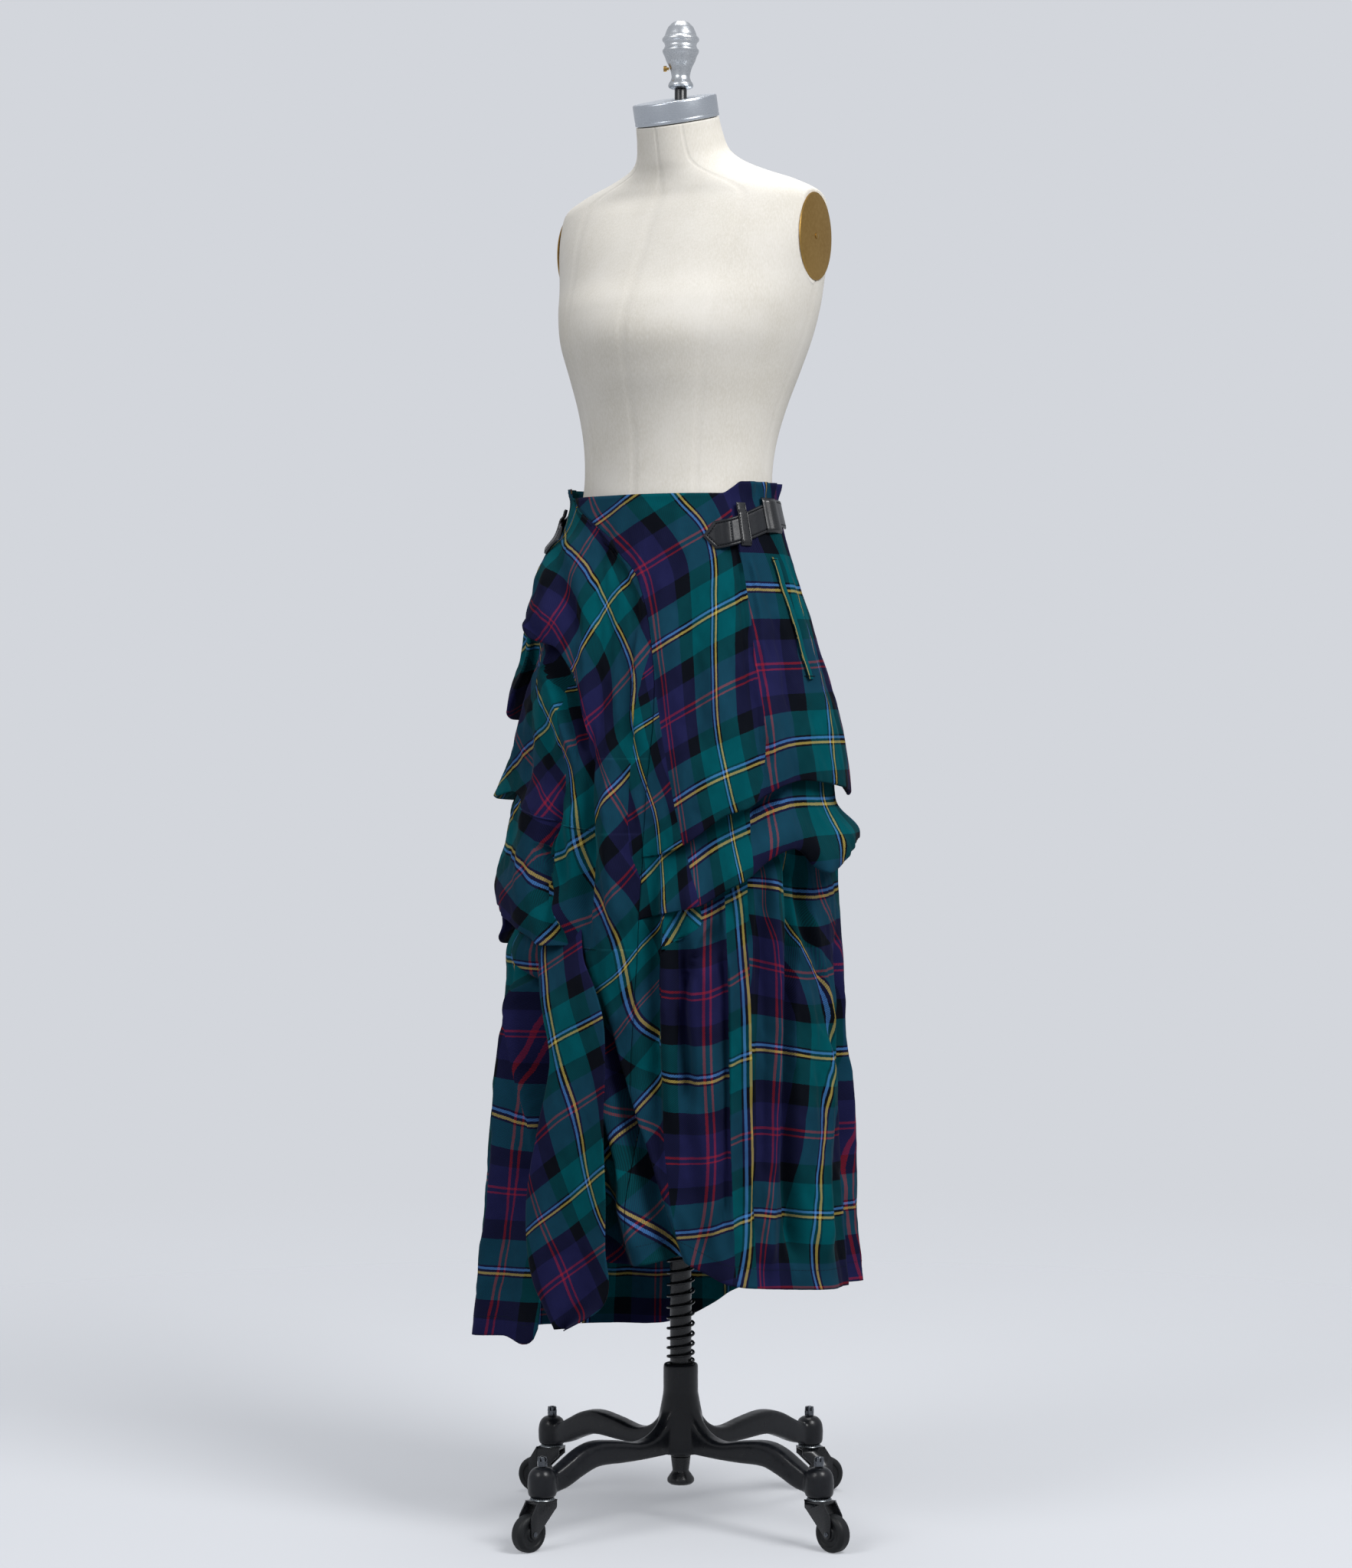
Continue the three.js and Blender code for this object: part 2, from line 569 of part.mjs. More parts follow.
const backFolds = table(
  foldColumns,
  [930, 150, 210, 146, 0, 10, 14, -10, 0, 0, 1],
  [930, 178, 210, 182, 0, 10, 14, -12, 0, 0, 1],
  [930, 206, 210, 212, 0, 10, 14, -10, 0, 0, 1],
  [1130, 164, 210, 162, 0, 8, 13, 6, 0, 0, 1],
  [1130, 196, 210, 198, 0, 8, 13, 6, 0, 0, 1],
);

// How far the cloth stands out above the first tuck.
function hipOut(side, turn, z) {
  const tuck = (side > 0 ? leftTucks : rightTucks)[0];
  const edge = along(tuck, "turn", turn, "edge");
  const top = waistHeight(turn);
  const t = (top - z) / (top - edge);
  const swell = Math.pow(smooth(t, 0.1, 0.92), 1.3) * along(tuck, "turn", turn, "lip");
  return swell + foldsAt(side > 0 ? leftFolds : rightFolds, turn, z) + gatherWave(turn, z);
}

// One column of a tucked panel: points from the waist to the hem at this turn. `counts` are rows in each tier.
function tuckedColumn(turnAt, tucks, folds, hem, counts) {
  const column = [];
  const place = (pick) => {
    let z = 700;
    for (let k = 0; k < 4; k++) z = pick(turnAt(z)).z;
    const turn = turnAt(z);
    const { out } = pick(turn);
    const total = out + foldsAt(folds, turn, z) + gatherWave(turn, z);
    column.push(skirtPoint(turn, z, total));
  };
  const edges = tucks.map((tuck) => (turn) => ({
    z: along(tuck, "turn", turn, "edge"),
    lip: along(tuck, "turn", turn, "lip"),
  }));
  counts.forEach((count, tier) => {
    const above = (turn) => {
      if (tier === 0) return { z: waistHeight(turn), out: 0 };
      const { z, lip } = edges[tier - 1](turn);
      return { z: z + 0.16 * lip - 3, out: 0.3 * lip };
    };
    const below = (turn) => (tier < tucks.length ? edges[tier](turn) : { z: along(hem, "turn", turn, "z"), lip: 0 });
    for (let i = 0; i <= count; i++) {
      const t = Math.pow(i / count, tier === 0 ? 1.5 : 1);
      place((turn) => {
        const start = above(turn);
        const { z, lip } = below(turn);
        const swell = tier < tucks.length ? Math.pow(smooth(t, 0.1, 0.92), 1.3) * lip : 0;
        const settle = start.out * (1 - smooth(t, 0, 0.5));
        return { z: mix(start.z, z, t), out: swell + settle };
      });
    }
    if (tier < tucks.length) {
      place((turn) => {
        const { z, lip } = edges[tier](turn);
        return { z: z + 0.04 * lip - 1.5, out: 0.66 * lip };
      });
    }
  });
  return column;
}

function transpose(columns) {
  return columns[0].map((_, i) => columns.map((column) => column[i]));
}

// Everything between the front seam and `reach` degrees beyond it, to trim the two panels that meet there.
function seamCutter(gap, reach) {
  const heights = [1240, 1215, 1200, 1188, 1176, 1165, 1153, 1141, 1130, 1117, 1105, 1088, 1070, 1055, 1020, 980, 900, 780, 640, 500, 150];
  const rings = heights.reverse().map((z) => {
    const order = (points) => (reach > 0 ? points : points.reverse());
    const from = seamTurn(z) + gap * smooth(z, 950, 1150) + gap * 0.35;
    const turns = [from, from + reach * 0.33, from + reach * 0.66, from + reach];
    const point = (turn, far) => new THREE.Vector3(far * Math.sin(radians(turn)), -far * Math.cos(radians(turn)) - 8, z);
    return order([point(from, 20), ...turns.map((turn) => point(turn, 420))]);
  });
  return toSolid(loft(rings));
}
function leftPanel() {
  const count = 24;
  const reach = 1.5;
  const columns = Array.from({ length: count + 1 }, (_, j) => {
    const turnAt = (z) => mix(seamTurn(z) - reach, sideSeam, Math.pow(j / count, 1.08));
    return tuckedColumn(turnAt, leftTucks, leftFolds, leftHem, [9, 4, 8]);
  });
  const cloth = toSolid(sheet(transpose(columns), clothThickness));
  return toGeometry(cloth.subtract(seamCutter(0.3, -60)));
}
// Columns of the right panel, as fractions of its width, close together where the hem steps up.
const rightColumns = [0, 0.05, 0.1, 0.15, 0.2, 0.25, 0.3, 0.35, 0.4, 0.45, 0.49, 0.53, 0.57, 0.61, 0.65, 0.69, 0.73, 0.768, 0.782,
  0.82, 0.86, 0.9, 0.94, 1];
function rightPanel() {
  const reach = 1.5;
  const columns = rightColumns.map((part) => {
    const turnAt = (z) => mix(-sideSeam, seamTurn(z) + reach, part);
    return tuckedColumn(turnAt, rightTucks, rightFolds, rightHem, [8, 4, 4, 7]);
  });
  const cloth = toSolid(sheet(transpose(columns), clothThickness));
  return toGeometry(cloth.subtract(seamCutter(-0.3, 60)));
}

function backPanel() {
  const count = 20;
  const rows = 14;
  const margin = 0.8;
  const grid = Array.from({ length: rows + 1 }, (_, i) =>
    Array.from({ length: count + 1 }, (_, j) => {
      const turn = mix(sideSeam + margin, 360 - sideSeam - margin, j / count);
      const round = turn > 180 ? turn - 360 : turn;
      const z = mix(waistHeight(round), along(backHem, "turn", turn, "z"), i / rows);
      return skirtPoint(turn, z, foldsAt(backFolds, turn, z));
    }),
  );
  return sheet(grid, clothThickness);
}

// A long hanging end of cloth in front, cut to a slanting point.
const tailRows = table(
  ["z", "from", "to", "out"],
  [672, -23, -2, 9.2],
  [638, -19, 3, 15],
  [604, -15, 7, 20],
  [552, -10.5, 8.5, 23],
  [478, -13, 9, 24],
  [402, -16, 10, 24],
  [344, -15.5, 10, 24],
  [304, -13, 11, 24],
  [278, -9.5, 8, 23],
  [252, -5.5, -2.6, 22],
);
function tailPanel() {
  const count = 7;
  const rows = 14;
  const grid = Array.from({ length: rows + 1 }, (_, i) =>
    Array.from({ length: count + 1 }, (_, j) => {
      const z = mix(tailRows[0].z, tailRows[tailRows.length - 1].z, i / rows);
      const t = j / count;
      const turn = mix(along(tailRows, "z", z, "from"), along(tailRows, "z", z, "to"), t);
      const ripple = 5 * Math.sin(Math.PI * 2 * t + 0.6) * smooth(668 - z, 0, 200);
      return skirtPoint(turn, z, along(tailRows, "z", z, "out") + ripple);
    }),
  );
  return sheet(grid, clothThickness);
}

// A flat band that follows the skirt's outer face: straps, keepers and pocket welts.
function band({ from, to, count, centre, half, out, thickness, point = 0 }) {
  const grid = [-1, -0.4, 0.4, 1].map((across) =>
    Array.from({ length: count + 1 }, (_, j) => {
      const t = j / count;
      const turn = mix(from, to, t);
      const tip = point ? 1 - (1 - Math.min(t / point, 1)) * 0.8 : 1;
      return skirtPoint(turn, centre(turn) - across * half * tip, out(turn));
    }),
  );
  return sheet(to > from ? grid : grid.map((row) => [...row].reverse()), thickness);
}
const strapHeight = (turn) => mix(1151, 1180, smooth(Math.abs(turn), 40, 100));
const strapThickness = 2.4;
// A strap lies on whatever stands out furthest across its width.
function strapLift(turn) {
  const side = Math.sign(turn);
  const outs = [-3, 0, 3].flatMap((near) =>
    [-17, -8, 0, 8, 17].map((across) => hipOut(side, turn + near, strapHeight(turn) + across)),
  );
  return Math.max(...outs, 0) + strapThickness + 1.9 + (side < 0 ? 0.9 : 0);
}
function makeStrap(side) {
  const name = side > 0 ? "left" : "right";
  const strap = band({
    from: side * 41, to: side * 118, count: 22, centre: strapHeight, half: 15, out: strapLift, thickness: strapThickness, point: 0.09,
  });
  addPiece("strap_" + name, "leather", strap);
  const loop = (turn, half, high, low, lift) =>
    band({
      from: side * (turn - half), to: side * (turn + half), count: 2, centre: () => strapHeight(side * turn) + (high - low) / 2,
      half: (high + low) / 2, out: (t) => strapLift(t) + lift, thickness: 2,
    });
  addPiece("keeper_" + name, "leather", loop(64, 2.7, 27, 22, side > 0 ? 2.5 : 4.1));
  addPiece("buckle_" + name, "leather", loop(88, 4.6, 21, 21, side > 0 ? 2.5 : 2.7));
}
function makePocketWelt(side) {
  const top = 1128;
  const foot = 988;
  const grid = Array.from({ length: 7 }, (_, i) =>
    [-1, 0, 1].map((across) => {
      const z = mix(top, foot, i / 6);
      const turn = side * mix(82, 86, i / 6) + (across * 5.5) / 3.2;
      return skirtPoint(turn, z, hipOut(side, turn, z) + 1.6 + (side > 0 ? 1.4 : 2.2));
    }),
  );
  addPiece(side > 0 ? "pocket_welt_left" : "pocket_welt_right", "tartan", sheet(grid, 1.6));
}

// ---------- assembly ----------
makeForm();
makeCapAndFinial();
makeArmPlates();
makePole();
makeSpring();
makeBase();
casters.forEach(makeCaster);

addPiece("skirt_left_panel", "tartan", leftPanel());
addPiece("skirt_right_panel", "tartan", rightPanel());
addPiece("skirt_back_panel", "tartan", backPanel());
addPiece("skirt_tail", "tartan", tailPanel());
[1, -1].forEach(makeStrap);
[1, -1].forEach(makePocketWelt);

const bounds = new THREE.Box3().setFromObject(part);
const centre = bounds.getCenter(new THREE.Vector3());
part.position.set(-centre.x, -centre.y, -bounds.min.z);

export default part;
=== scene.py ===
import math

import bmesh
import bpy
import numpy as np
from mathutils import Matrix, Vector, noise
from mathutils.bvhtree import BVHTree


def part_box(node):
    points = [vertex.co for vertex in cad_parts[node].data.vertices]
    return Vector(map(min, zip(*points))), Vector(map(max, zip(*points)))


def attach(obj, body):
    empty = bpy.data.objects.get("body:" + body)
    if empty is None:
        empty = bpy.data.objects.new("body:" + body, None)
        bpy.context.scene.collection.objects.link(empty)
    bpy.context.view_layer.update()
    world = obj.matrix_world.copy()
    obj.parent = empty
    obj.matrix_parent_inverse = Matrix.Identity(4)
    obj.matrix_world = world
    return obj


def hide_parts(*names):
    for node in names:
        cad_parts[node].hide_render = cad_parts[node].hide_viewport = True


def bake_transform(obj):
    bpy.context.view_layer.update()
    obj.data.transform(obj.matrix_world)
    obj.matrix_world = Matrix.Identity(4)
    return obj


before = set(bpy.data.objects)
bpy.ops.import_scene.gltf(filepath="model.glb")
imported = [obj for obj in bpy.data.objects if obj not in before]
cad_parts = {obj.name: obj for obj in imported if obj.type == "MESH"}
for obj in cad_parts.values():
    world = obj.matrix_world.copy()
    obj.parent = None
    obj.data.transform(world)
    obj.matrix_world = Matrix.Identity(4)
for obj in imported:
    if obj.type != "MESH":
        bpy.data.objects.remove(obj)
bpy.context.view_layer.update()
print("frame loaded")

# Sizes are in millimetres, as the part's source has them: +Z up, the form faces -Y, its left side is +X.
# A turn is in degrees round the form: 0 is the front and 90 the form's left.
formBottom = 960
poleLow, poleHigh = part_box("pole")
origin = np.array([
    (poleLow.x + poleHigh.x) / 2,
    (poleLow.y + poleHigh.y) / 2,
    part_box("form_torso")[0].z - formBottom / 1000,
])


def toScene(points):
    return np.asarray(points, float) / 1000 + origin


def mix(a, b, t):
    return a + (b - a) * t


def smooth(x, start, end):
    t = np.clip((np.asarray(x, float) - start) / (end - start), 0, 1)
    return t * t * (3 - 2 * t)


def table(names, *rows):
    ordered = sorted(rows, key=lambda row: row[0])
    return {name: np.array([row[i] for row in ordered], float) for i, name in enumerate(names)}


# Reads a column of a table by its first column, with a smooth curve between the rows.
def along(rows, column, at):
    keys = next(iter(rows.values()))
    values = rows[column]
    at = np.clip(np.asarray(at, float), keys[0], keys[-1])
    before = np.maximum(np.arange(len(keys)) - 1, 0)
    after = np.minimum(np.arange(len(keys)) + 1, len(keys) - 1)
    slopes = (values[after] - values[before]) / (keys[after] - keys[before])
    i = np.clip(np.searchsorted(keys, at, side="right") - 1, 0, len(keys) - 2)
    span = keys[i + 1] - keys[i]
    t = (at - keys[i]) / span
    rest = 1 - t
    return (
        (1 + 2 * t) * rest * rest * values[i] + t * rest * rest * span * slopes[i]
        + t * t * (3 - 2 * t) * values[i + 1] - t * t * rest * span * slopes[i + 1]
    )


def link(obj):
    bpy.context.scene.collection.objects.link(obj)
    return obj


def makeMesh(name, points, faces, material):
    mesh = bpy.data.meshes.new(name)
    mesh.from_pydata([tuple(p) for p in toScene(points)], [], faces)
    mesh.materials.append(material)
    mesh.polygons.foreach_set("use_smooth", [True] * len(mesh.polygons))
    mesh.update()
    return link(bpy.data.objects.new(name, mesh))


# Says which body a piece rides on and which solids it stands in for.
def finish(piece, body, replaces=()):
    if body:
        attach(piece, body)
    if replaces:
        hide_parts(*replaces)
    return piece


# Merges doubles and turns the faces outwards.
def recalculate(piece, merge=1e-6):
    shape = bmesh.new()
    shape.from_mesh(piece.data)
    bmesh.ops.remove_doubles(shape, verts=shape.verts, dist=merge)
    bmesh.ops.recalc_face_normals(shape, faces=shape.faces)
    shape.to_mesh(piece.data)
    shape.free()
    return piece


# Marks the edges that turn more than `degrees` as sharp.
def sharpen(piece, degrees=35):
    shape = bmesh.new()
    shape.from_mesh(piece.data)
    for edge in shape.edges:
        if len(edge.link_faces) == 2:
            edge.smooth = edge.calc_face_angle(0) < math.radians(degrees)
    shape.to_mesh(piece.data)
    shape.free()
    return piece


# Faces between the rows of a grid; `closed` joins the last column to the first.
def gridFaces(rows, columns, closed=False):
    faces = []
    for i in range(rows - 1):
        for j in range(columns if closed else columns - 1):
            n = (j + 1) % columns
            faces.append((i * columns + j, (i + 1) * columns + j, (i + 1) * columns + n, i * columns + n))
    return faces


# A closed slab between two grids of points.
def makeSlab(name, top, under, material):
    rows, columns = top.shape[:2]
    count = rows * columns
    upper = gridFaces(rows, columns)
    lower = [tuple(count + k for k in reversed(face)) for face in upper]
    rim = [i * columns for i in range(rows)]
    rim += [(rows - 1) * columns + j for j in range(1, columns)]
    rim += [i * columns + columns - 1 for i in range(rows - 2, -1, -1)]
    rim += list(range(columns - 2, 0, -1))
    walls = [(a, b, count + b, count + a) for a, b in zip(rim, rim[1:] + rim[:1])]
    points = np.concatenate([top.reshape(-1, 3), under.reshape(-1, 3)])
    return makeMesh(name, points, upper + lower + walls, material)


def transformPoints(points, matrix):
    return [tuple(matrix @ Vector(p)) for p in points]


# A body turned about +Z from [radius, height] pairs listed from the bottom up; a radius of 0 closes it.
def turnedShape(profile, segments):
    points, rings = [], []
    for radius, height in profile:
        if radius <= 1e-6:
            rings.append([len(points)])
            points.append((0, 0, height))
            continue
        rings.append(list(range(len(points), len(points) + segments)))
        for k in range(segments):
            angle = 2 * math.pi * k / segments
            points.append((radius * math.cos(angle), radius * math.sin(angle), height))
    faces = []
    for low, high in zip(rings, rings[1:]):
        for k in range(segments):
            n = (k + 1) % segments
            if len(low) == 1 and len(high) == 1:
                continue
            if len(low) == 1:
                faces.append((low[0], high[n], high[k]))
            elif len(high) == 1:
                faces.append((low[k], low[n], high[0]))
            else:
                faces.append((low[k], low[n], high[n], high[k]))
    return points, faces


# Rounds the corners of a profile with short arcs.
def rounded(profile, radius, steps=4):
    result = []
    for i, corner in enumerate(profile):
        if i in (0, len(profile) - 1):
            result.append(tuple(corner))
            continue
        here = np.array(corner, float)
        back = np.array(profile[i - 1], float) - here
        ahead = np.array(profile[i + 1], float) - here
        reach = min(radius, np.linalg.norm(back) * 0.45, np.linalg.norm(ahead) * 0.45)
        a = here + back / np.linalg.norm(back) * reach
        b = here + ahead / np.linalg.norm(ahead) * reach
        for k in range(steps + 1):
            t = k / steps
            result.append(tuple((1 - t) ** 2 * a + 2 * t * (1 - t) * here + t * t * b))
    return result


def joinShapes(*shapes):
    points, faces = [], []
    for shapePoints, shapeFaces in shapes:
        start = len(points)
        points.extend(shapePoints)
        faces.extend(tuple(start + k for k in face) for face in shapeFaces)
    return points, faces


def toLinear(hexCode):
    channels = [int(hexCode[i:i + 2], 16) / 255 for i in (0, 2, 4)]
    return tuple(c / 12.92 if c <= 0.04045 else ((c + 0.055) / 1.055) ** 2.4 for c in channels) + (1.0,)


def addNode(tree, kind, inputs=None, **settings):
    node = tree.nodes.new(kind)
    for name, value in settings.items():
        setattr(node, name, value)
    for key, value in (inputs or {}).items():
        if isinstance(value, bpy.types.NodeSocket):
            tree.links.new(value, node.inputs[key])
        else:
            node.inputs[key].default_value = value
    return node


def newMaterial(name):
    material = bpy.data.materials.new(name)
    material.use_nodes = True
    material.node_tree.nodes.clear()
    return material, material.node_tree


view = {
    "azimuth": 34,  # degrees round from the form's front
    "distance": 4.24,
    "height": 0.91,
    "lens": 82.83,
    "tilt": 0.59,  # degrees down
    "yaw": 0.075,  # degrees, so that the pole stands a little right of the middle
    "backdrop": "D3D6DC",
}
# Degrees round from the camera, metres and watts; each light points at a height above the stand.
lights = {
    "key": {"round": 42, "height": 3.2, "distance": 2.5, "size": 1.6, "power": 84, "aim": 0.8},
    "fill": {"round": -45, "height": 2.8, "distance": 3.0, "size": 1.8, "power": 36, "aim": 0.8},
    "top": {"round": 178, "height": 3.6, "distance": 0.7, "size": 1.0, "power": 26, "aim": 0.3},
}
# Pale seamless paper, which fades into the backdrop between two distances from the stand.
paper = {"radius": 9.0, "colour": "D6D8DC", "solid": 0.9, "faded": 3.4, "clear": 0.35}


def makeCamera():
    turn = math.radians(view["azimuth"])
    camera = link(bpy.data.objects.new("camera", bpy.data.cameras.new("camera")))
    away = Vector((math.sin(turn), -math.cos(turn), 0)) * view["distance"]
    camera.location = Vector((origin[0], origin[1], view["height"])) + away
    camera.rotation_euler = (math.radians(90 - view["tilt"]), 0, turn + math.radians(view["yaw"]))
    camera.data.sensor_fit = "VERTICAL"
    camera.data.sensor_height = 36
    camera.data.sensor_width = 36
    camera.data.lens = view["lens"]
    camera.data.clip_end = 60
    bpy.context.scene.camera = camera


def makeLight(name):
    light = lights[name]
    turn = math.radians(view["azimuth"] + light["round"])
    lamp = bpy.data.lights.new(name, "AREA")
    lamp.shape = "DISK"
    lamp.size = light["size"]
    lamp.energy = light["power"]
    piece = link(bpy.data.objects.new(name, lamp))
    away = light["distance"]
    piece.location = (math.sin(turn) * away, -math.cos(turn) * away, light["height"])
    towards = Vector((0, 0, light["aim"])) - piece.location
    piece.rotation_euler = towards.to_track_quat("-Z", "Y").to_euler()


# The backdrop looks bright, but the room lights the object less than the lamps do, and least from below.
def makeRoom():
    world = bpy.data.worlds.new("studio")
    bpy.context.scene.world = world
    world.use_nodes = True
    tree = world.node_tree
    tree.nodes.clear()
    colour = toLinear(view["backdrop"])
    seen = addNode(tree, "ShaderNodeLightPath")
    way = addNode(tree, "ShaderNodeTexCoord")
    upward = addNode(tree, "ShaderNodeSeparateXYZ", {0: way.outputs["Generated"]})
    glow = addNode(tree, "ShaderNodeMapRange", {
        "Value": upward.outputs[2], "From Min": -0.3, "From Max": 0.8, "To Min": 0.06, "To Max": 0.66,
    })
    backdrop = addNode(tree, "ShaderNodeBackground", {"Color": colour, "Strength": 1.0})
    room = addNode(tree, "ShaderNodeBackground", {"Color": colour, "Strength": glow.outputs[0]})
    mirrored = addNode(tree, "ShaderNodeBackground", {"Color": colour, "Strength": 0.75})
    lit = addNode(tree, "ShaderNodeMixShader", {
        0: seen.outputs["Is Diffuse Ray"], 1: backdrop.outputs[0], 2: room.outputs[0],
    })
    whole = addNode(tree, "ShaderNodeMixShader", {
        0: seen.outputs["Is Glossy Ray"], 1: lit.outputs[0], 2: mirrored.outputs[0],
    })
    addNode(tree, "ShaderNodeOutputWorld", {"Surface": whole.outputs[0]})


def layPaper():
    material, tree = newMaterial("studio_paper")
    place = addNode(tree, "ShaderNodeTexCoord")
    away = addNode(tree, "ShaderNodeVectorMath", {0: place.outputs["Object"]}, operation="LENGTH")
    fade = addNode(tree, "ShaderNodeMapRange", {
        "Value": away.outputs["Value"],
        "From Min": paper["solid"], "From Max": paper["faded"], "To Min": paper["clear"],
    }, interpolation_type="SMOOTHSTEP")
    shade = addNode(tree, "ShaderNodeBsdfDiffuse", {"Color": toLinear(paper["colour"]), "Roughness": 1.0})
    clear = addNode(tree, "ShaderNodeBsdfTransparent")
    both = addNode(tree, "ShaderNodeMixShader", {
        0: fade.outputs[0], 1: shade.outputs[0], 2: clear.outputs[0],
    })
    addNode(tree, "ShaderNodeOutputMaterial", {"Surface": both.outputs[0]})
    angles = [math.tau * k / 64 for k in range(64)]
    corners = [(math.cos(angle) * paper["radius"], math.sin(angle) * paper["radius"], 0) for angle in angles]
    mesh = bpy.data.meshes.new("floor")
    mesh.from_pydata(corners, [], [tuple(range(64))])
    mesh.materials.append(material)
    link(bpy.data.objects.new("floor", mesh))


makeCamera()
bpy.context.scene.view_settings.view_transform = "Standard"
makeRoom()
for name in lights:
    makeLight(name)
layPaper()
print("camera, light and floor made")


# Brushed wool-and-cotton twill: matt, a soft nap, every colour half warp and half weft.
sett = {
    "repeat": 187,  # mm of cloth in one repeat of the pattern, the same both ways
    "twill": 2.2,  # mm between the diagonal ribs, coarser than the real 0.9 mm so that they show
    "green": "025058",
    "black": "0E1118",
    "navy": "202148",
    "azure": "4F8ACC",
    "yellow": "C2AC58",
    "red": "8C2238",
}
# where each colour starts, as a share of the repeat
settStripes = [
    (0.0, "green"), (0.165, "black"), (0.177, "azure"), (0.194, "black"), (0.209, "yellow"), (0.225, "black"),
    (0.237, "green"), (0.39, "black"), (0.515, "navy"), (0.655, "red"), (0.668, "navy"), (0.692, "red"),
    (0.705, "navy"), (0.875, "black"),
]


def makeTartan():
    material, tree = newMaterial("brushed_twill")
    cloth = addNode(tree, "ShaderNodeUVMap", uv_map="cloth")
    flat = addNode(tree, "ShaderNodeSeparateXYZ", {0: cloth.outputs[0]})
    fuzz = addNode(tree, "ShaderNodeTexNoise", {"Vector": cloth.outputs[0], "Scale": 420.0, "Detail": 2.0})
    colours = []
    for axis in (0, 1):
        wander = addNode(tree, "ShaderNodeMath", {0: fuzz.outputs["Fac"], 1: 0.0011, 2: flat.outputs[axis]},
                         operation="MULTIPLY_ADD")
        share = addNode(tree, "ShaderNodeMath", {
            0: wander.outputs[0], 1: 1000 / sett["repeat"],
        }, operation="MULTIPLY")
        part = addNode(tree, "ShaderNodeMath", {0: share.outputs[0]}, operation="FRACT")
        ramp = addNode(tree, "ShaderNodeValToRGB", {0: part.outputs[0]})
        ramp.color_ramp.interpolation = "CONSTANT"
        stops = ramp.color_ramp.elements
        while len(stops) < len(settStripes):
            stops.new(0.5)
        for stop, (start, colour) in zip(stops, settStripes):
            stop.position = start
            stop.color = toLinear(sett[colour])
        colours.append(ramp.outputs["Color"])
    slant = addNode(tree, "ShaderNodeMath", {0: flat.outputs[0], 1: flat.outputs[1]}, operation="ADD")
    turns = math.tau * 1000 / sett["twill"]
    phase = addNode(tree, "ShaderNodeMath", {0: slant.outputs[0], 1: turns}, operation="MULTIPLY")
    rib = addNode(tree, "ShaderNodeMath", {0: phase.outputs[0]}, operation="SINE")
    weft = addNode(tree, "ShaderNodeMath", {0: rib.outputs[0], 1: 0.16, 2: 0.5}, operation="MULTIPLY_ADD")
    woven = addNode(tree, "ShaderNodeMix", {
        0: weft.outputs[0], 6: colours[0], 7: colours[1],
    }, data_type="RGBA")
    # faint lighter patches where the nap is rubbed
    wear = addNode(tree, "ShaderNodeTexNoise", {"Vector": cloth.outputs[0], "Scale": 26.0, "Detail": 4.0})
    rubbed = addNode(tree, "ShaderNodeMapRange", {
        "Value": wear.outputs["Fac"], "From Min": 0.3, "From Max": 0.7, "To Min": 0.86, "To Max": 1.12,
    })
    tone = addNode(tree, "ShaderNodeHueSaturation", {"Color": woven.outputs[2], "Value": rubbed.outputs[0]})
    nap = addNode(tree, "ShaderNodeMath", {
        0: fuzz.outputs["Fac"], 1: 0.6, 2: rib.outputs[0],
    }, operation="MULTIPLY_ADD")
    bump = addNode(tree, "ShaderNodeBump", {"Height": nap.outputs[0], "Strength": 0.25, "Distance": 0.0004})
    shader = addNode(tree, "ShaderNodeBsdfPrincipled", {
        "Base Color": tone.outputs[0], "Roughness": 0.95, "Normal": bump.outputs[0],
        "Sheen Weight": 0.03, "Sheen Roughness": 0.4, "Specular IOR Level": 0.03,
    })
    addNode(tree, "ShaderNodeOutputMaterial", {"Surface": shader.outputs[0]})
    return material


